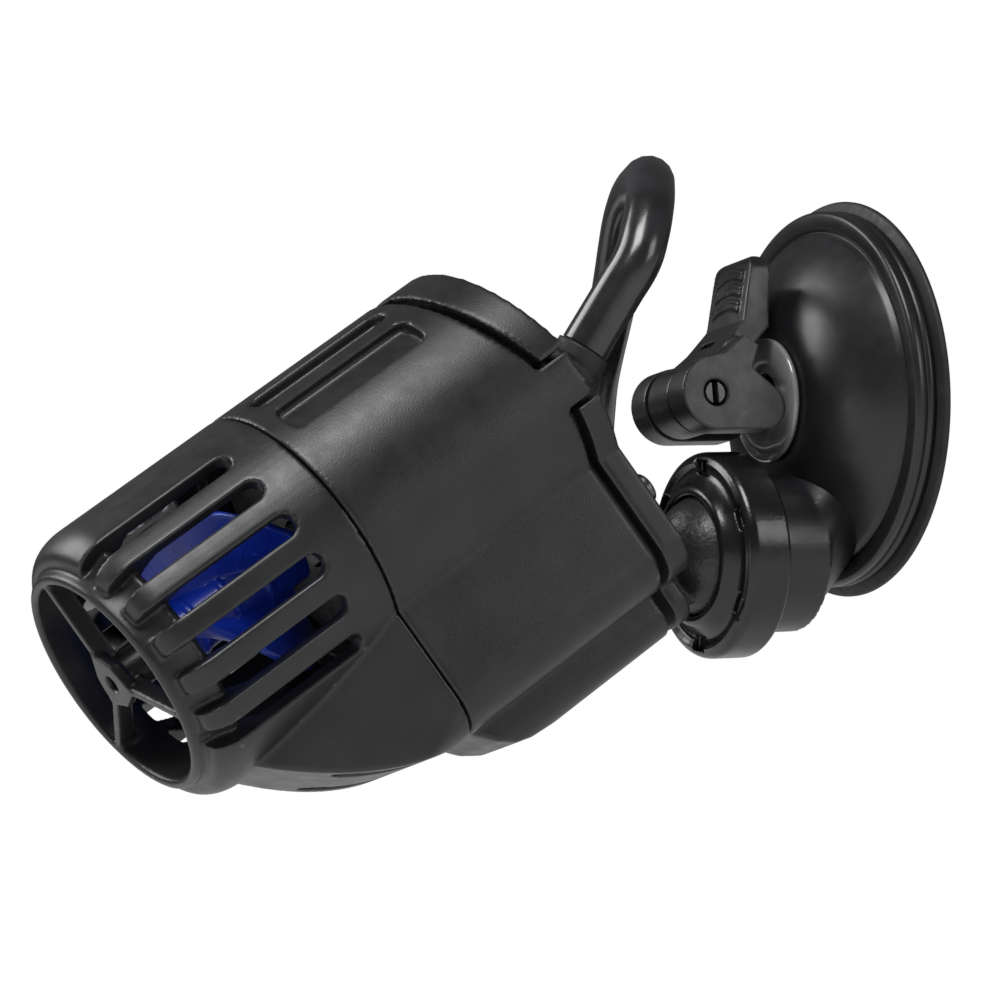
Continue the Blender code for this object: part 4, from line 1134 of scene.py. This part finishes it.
def boss():
    """The web and round boss that carry the ball socket off the lower part of the bell."""
    points = []
    for angle in range(0, 360, 6):
        points.append((*polar(BOSS_R, angle), 13.0))
        near = polar(BOSS_R - 1.2, angle)
        points.append((near[0], near[1] + 7.2, 5.0))
    pieces = [
        hull("boss_web", points, BOSS_FRAME),
        cylinder("boss", BOSS_R, 12.0, 20.3, BOSS_FRAME, ROUND),
        cylinder("boss_spigot", SOCKET_R + 1.6, 18.0, 22.9, BOSS_FRAME, ROUND),
    ]
    made = cut(
        join(*pieces),
        cylinder("socket_bore", SOCKET_R, 12.1, 30.0, BOSS_FRAME, ROUND),
        cylinder("stem_bore", 4.0, 2.0, 40.0, WALL_FRAME),
    )
    made.name = "bell_boss"
    dress(moulded(made, 0.3, 5), SMOOTH, "base", "satin_black")


def seat_ring():
    profile = [(9.3, 14.1)] + [(9.3, 13.7), (4.0, 13.7), (4.0, 14.3), (4.2, 14.5), (8.9, 14.5), (9.15, 14.4)]
    dress(turned("seat_moulding", profile, WALL_FRAME, 128), PALE, "base", "grey_plastic", "seat_ring")


def pull_stem():
    """The stem, and the barrel that the lever's pin runs through, with chamfered rims."""
    profile = [
        (0.0, PIVOT_DEPTH), (STEM_R, PIVOT_DEPTH), (STEM_R, 4.6), (STEM_FOOT_R, 4.6), (STEM_FOOT_R, 2.9), (0.0, 2.9),
    ]
    radius = EAR_R - 0.2
    rim = 0.35
    barrel = [
        (0.0, BARREL_HALF), (radius - rim, BARREL_HALF), (radius, BARREL_HALF - rim),
        (radius, rim - BARREL_HALF), (radius - rim, -BARREL_HALF), (0.0, -BARREL_HALF),
    ]
    stem = join(turned("stem_moulding", profile, WALL_FRAME), turned("barrel", barrel, ACROSS))
    stem = cut(stem, cylinder("barrel_hole", PIN_R + GAP, -9, 9, ACROSS))
    dress(moulded(stem, 0.2, 3), LEVER, "stem", "gloss_black", "pull_stem")


def paddle_ridge(along):
    """A thin raised bow across the thumb face, so many millimetres up it."""
    run = (math.cos(math.radians(PADDLE_LEAN)), math.sin(math.radians(PADDLE_LEAN)))
    points = []
    for i in range(13):
        across = -1 + i / 6
        height = along + 0.9 * (1 - across**2)
        points.append((3.9 * across, PADDLE_ROOT[0] + run[0] * height, PADDLE_ROOT[1] + run[1] * height))
    return rod("ridge", points, 0.42, PIVOT_PLACE)


def cam_lever():
    """Two cam ears with noses towards the bell, bridged by a cranked thumb paddle with bowed ridges."""
    place = PIVOT_PLACE @ LEVER_VIEW
    ear = (
        arc((0, 0), EAR_R, 95, 270, 40)
        + arc((8.2, -2.1), 3.4, -90, 55, 18)
        + [(6.6, 3.6), (8.0, 7.0), (5.6, 8.6), (2.0, 6.0)]
    )
    near = extruded("ear_near", [ear], EAR_START, EAR_START + EAR_WIDTH, place)
    far = extruded("ear_far", [ear], -EAR_START - EAR_WIDTH + 0.3, -EAR_START, place)
    outline = (
        [(1.6, 5.75), PADDLE_ROOT]
        + arc((11.0, 19.6), 1.65, 180, 0, 12)
        + [(11.4, 10.2), (7.0, 5.75)]
    )
    paddle = extruded("lever_moulding", [outline], -PADDLE_HALF, PADDLE_HALF, place)
    front = Matrix.Rotation(math.radians(90), 4, "X")
    corner = 2.4
    rounded = (
        [(-PADDLE_HALF, 3.0)]
        + arc((corner - PADDLE_HALF + 0.4, 21.3 - corner), corner, 180, 90, 10)
        + arc((PADDLE_HALF - corner - 0.4, 21.3 - corner), corner, 90, 0, 10)
        + [(PADDLE_HALF, 3.0)]
    )
    paddle = keep(paddle, extruded("paddle_front", [rounded], -20.0, 20.0, PIVOT_PLACE @ front))
    paddle = join(paddle, near, far)
    slot_place = PIVOT_PLACE @ shift(0, 4.4, 8.5) @ Matrix.Rotation(math.radians(45), 4, "X")
    paddle = cut(
        paddle,
        cylinder("lever_hole", PIN_R + GAP, -12, 12, ACROSS),
        box("paddle_slot", (-3.0, -0.7, -3.0), (1.2, 0.7, 3.0), slot_place),
    )
    ridges = [paddle_ridge(start + pair) for start in (1.9, 4.3, 6.7) for pair in (0.0, 0.85)]
    whole = gathered("lever_moulding", [paddle] + ridges, PIVOT_PLACE)
    dress(moulded(whole, 0.17, 3), LEVER, "lever", "gloss_black", "cam_lever")


def lever_pin():
    """The snap pin, split at its near end."""
    pin = cylinder("pin_moulding", PIN_R, -8.0, 8.1, ACROSS)
    pin = cut(pin, box("pin_slit", (4.0, -0.35, -3.0), (10.0, 0.35, 3.0), PIVOT_PLACE))
    dress(moulded(pin, 0.15, 3), POLISHED, "stem", "gloss_black", "lever_pin")


CAD_FINISH = {
    "cage_bush": RUBBER, "propeller_cap": BLUE, "rotor_shaft": CERAMIC, "drive_collar": WHITE,
    "rotor_magnet": FERRITE, "rear_bush": RUBBER, "well_cover": SATIN, "well_seal": RUBBER,
    "stator_core": CORE, "coil_spool": WHITE, "coil_winding": COPPER, "potting_plate": RESIN,
    "socket_pad": RUBBER,
}


def dress_cad():
    """Materials for the CAD nodes whose shapes stay."""
    for name, material in CAD_FINISH.items():
        for place in NODES[name].material_slots:
            place.material = material


front_cage()
propeller()
motor_housing()
rear_cap()
cap_screws()
strain_relief()
ball_stud()
clamp_nut()
suction_disc()
dome()
boss()
seat_ring()
pull_stem()
cam_lever()
lever_pin()
dress_cad()
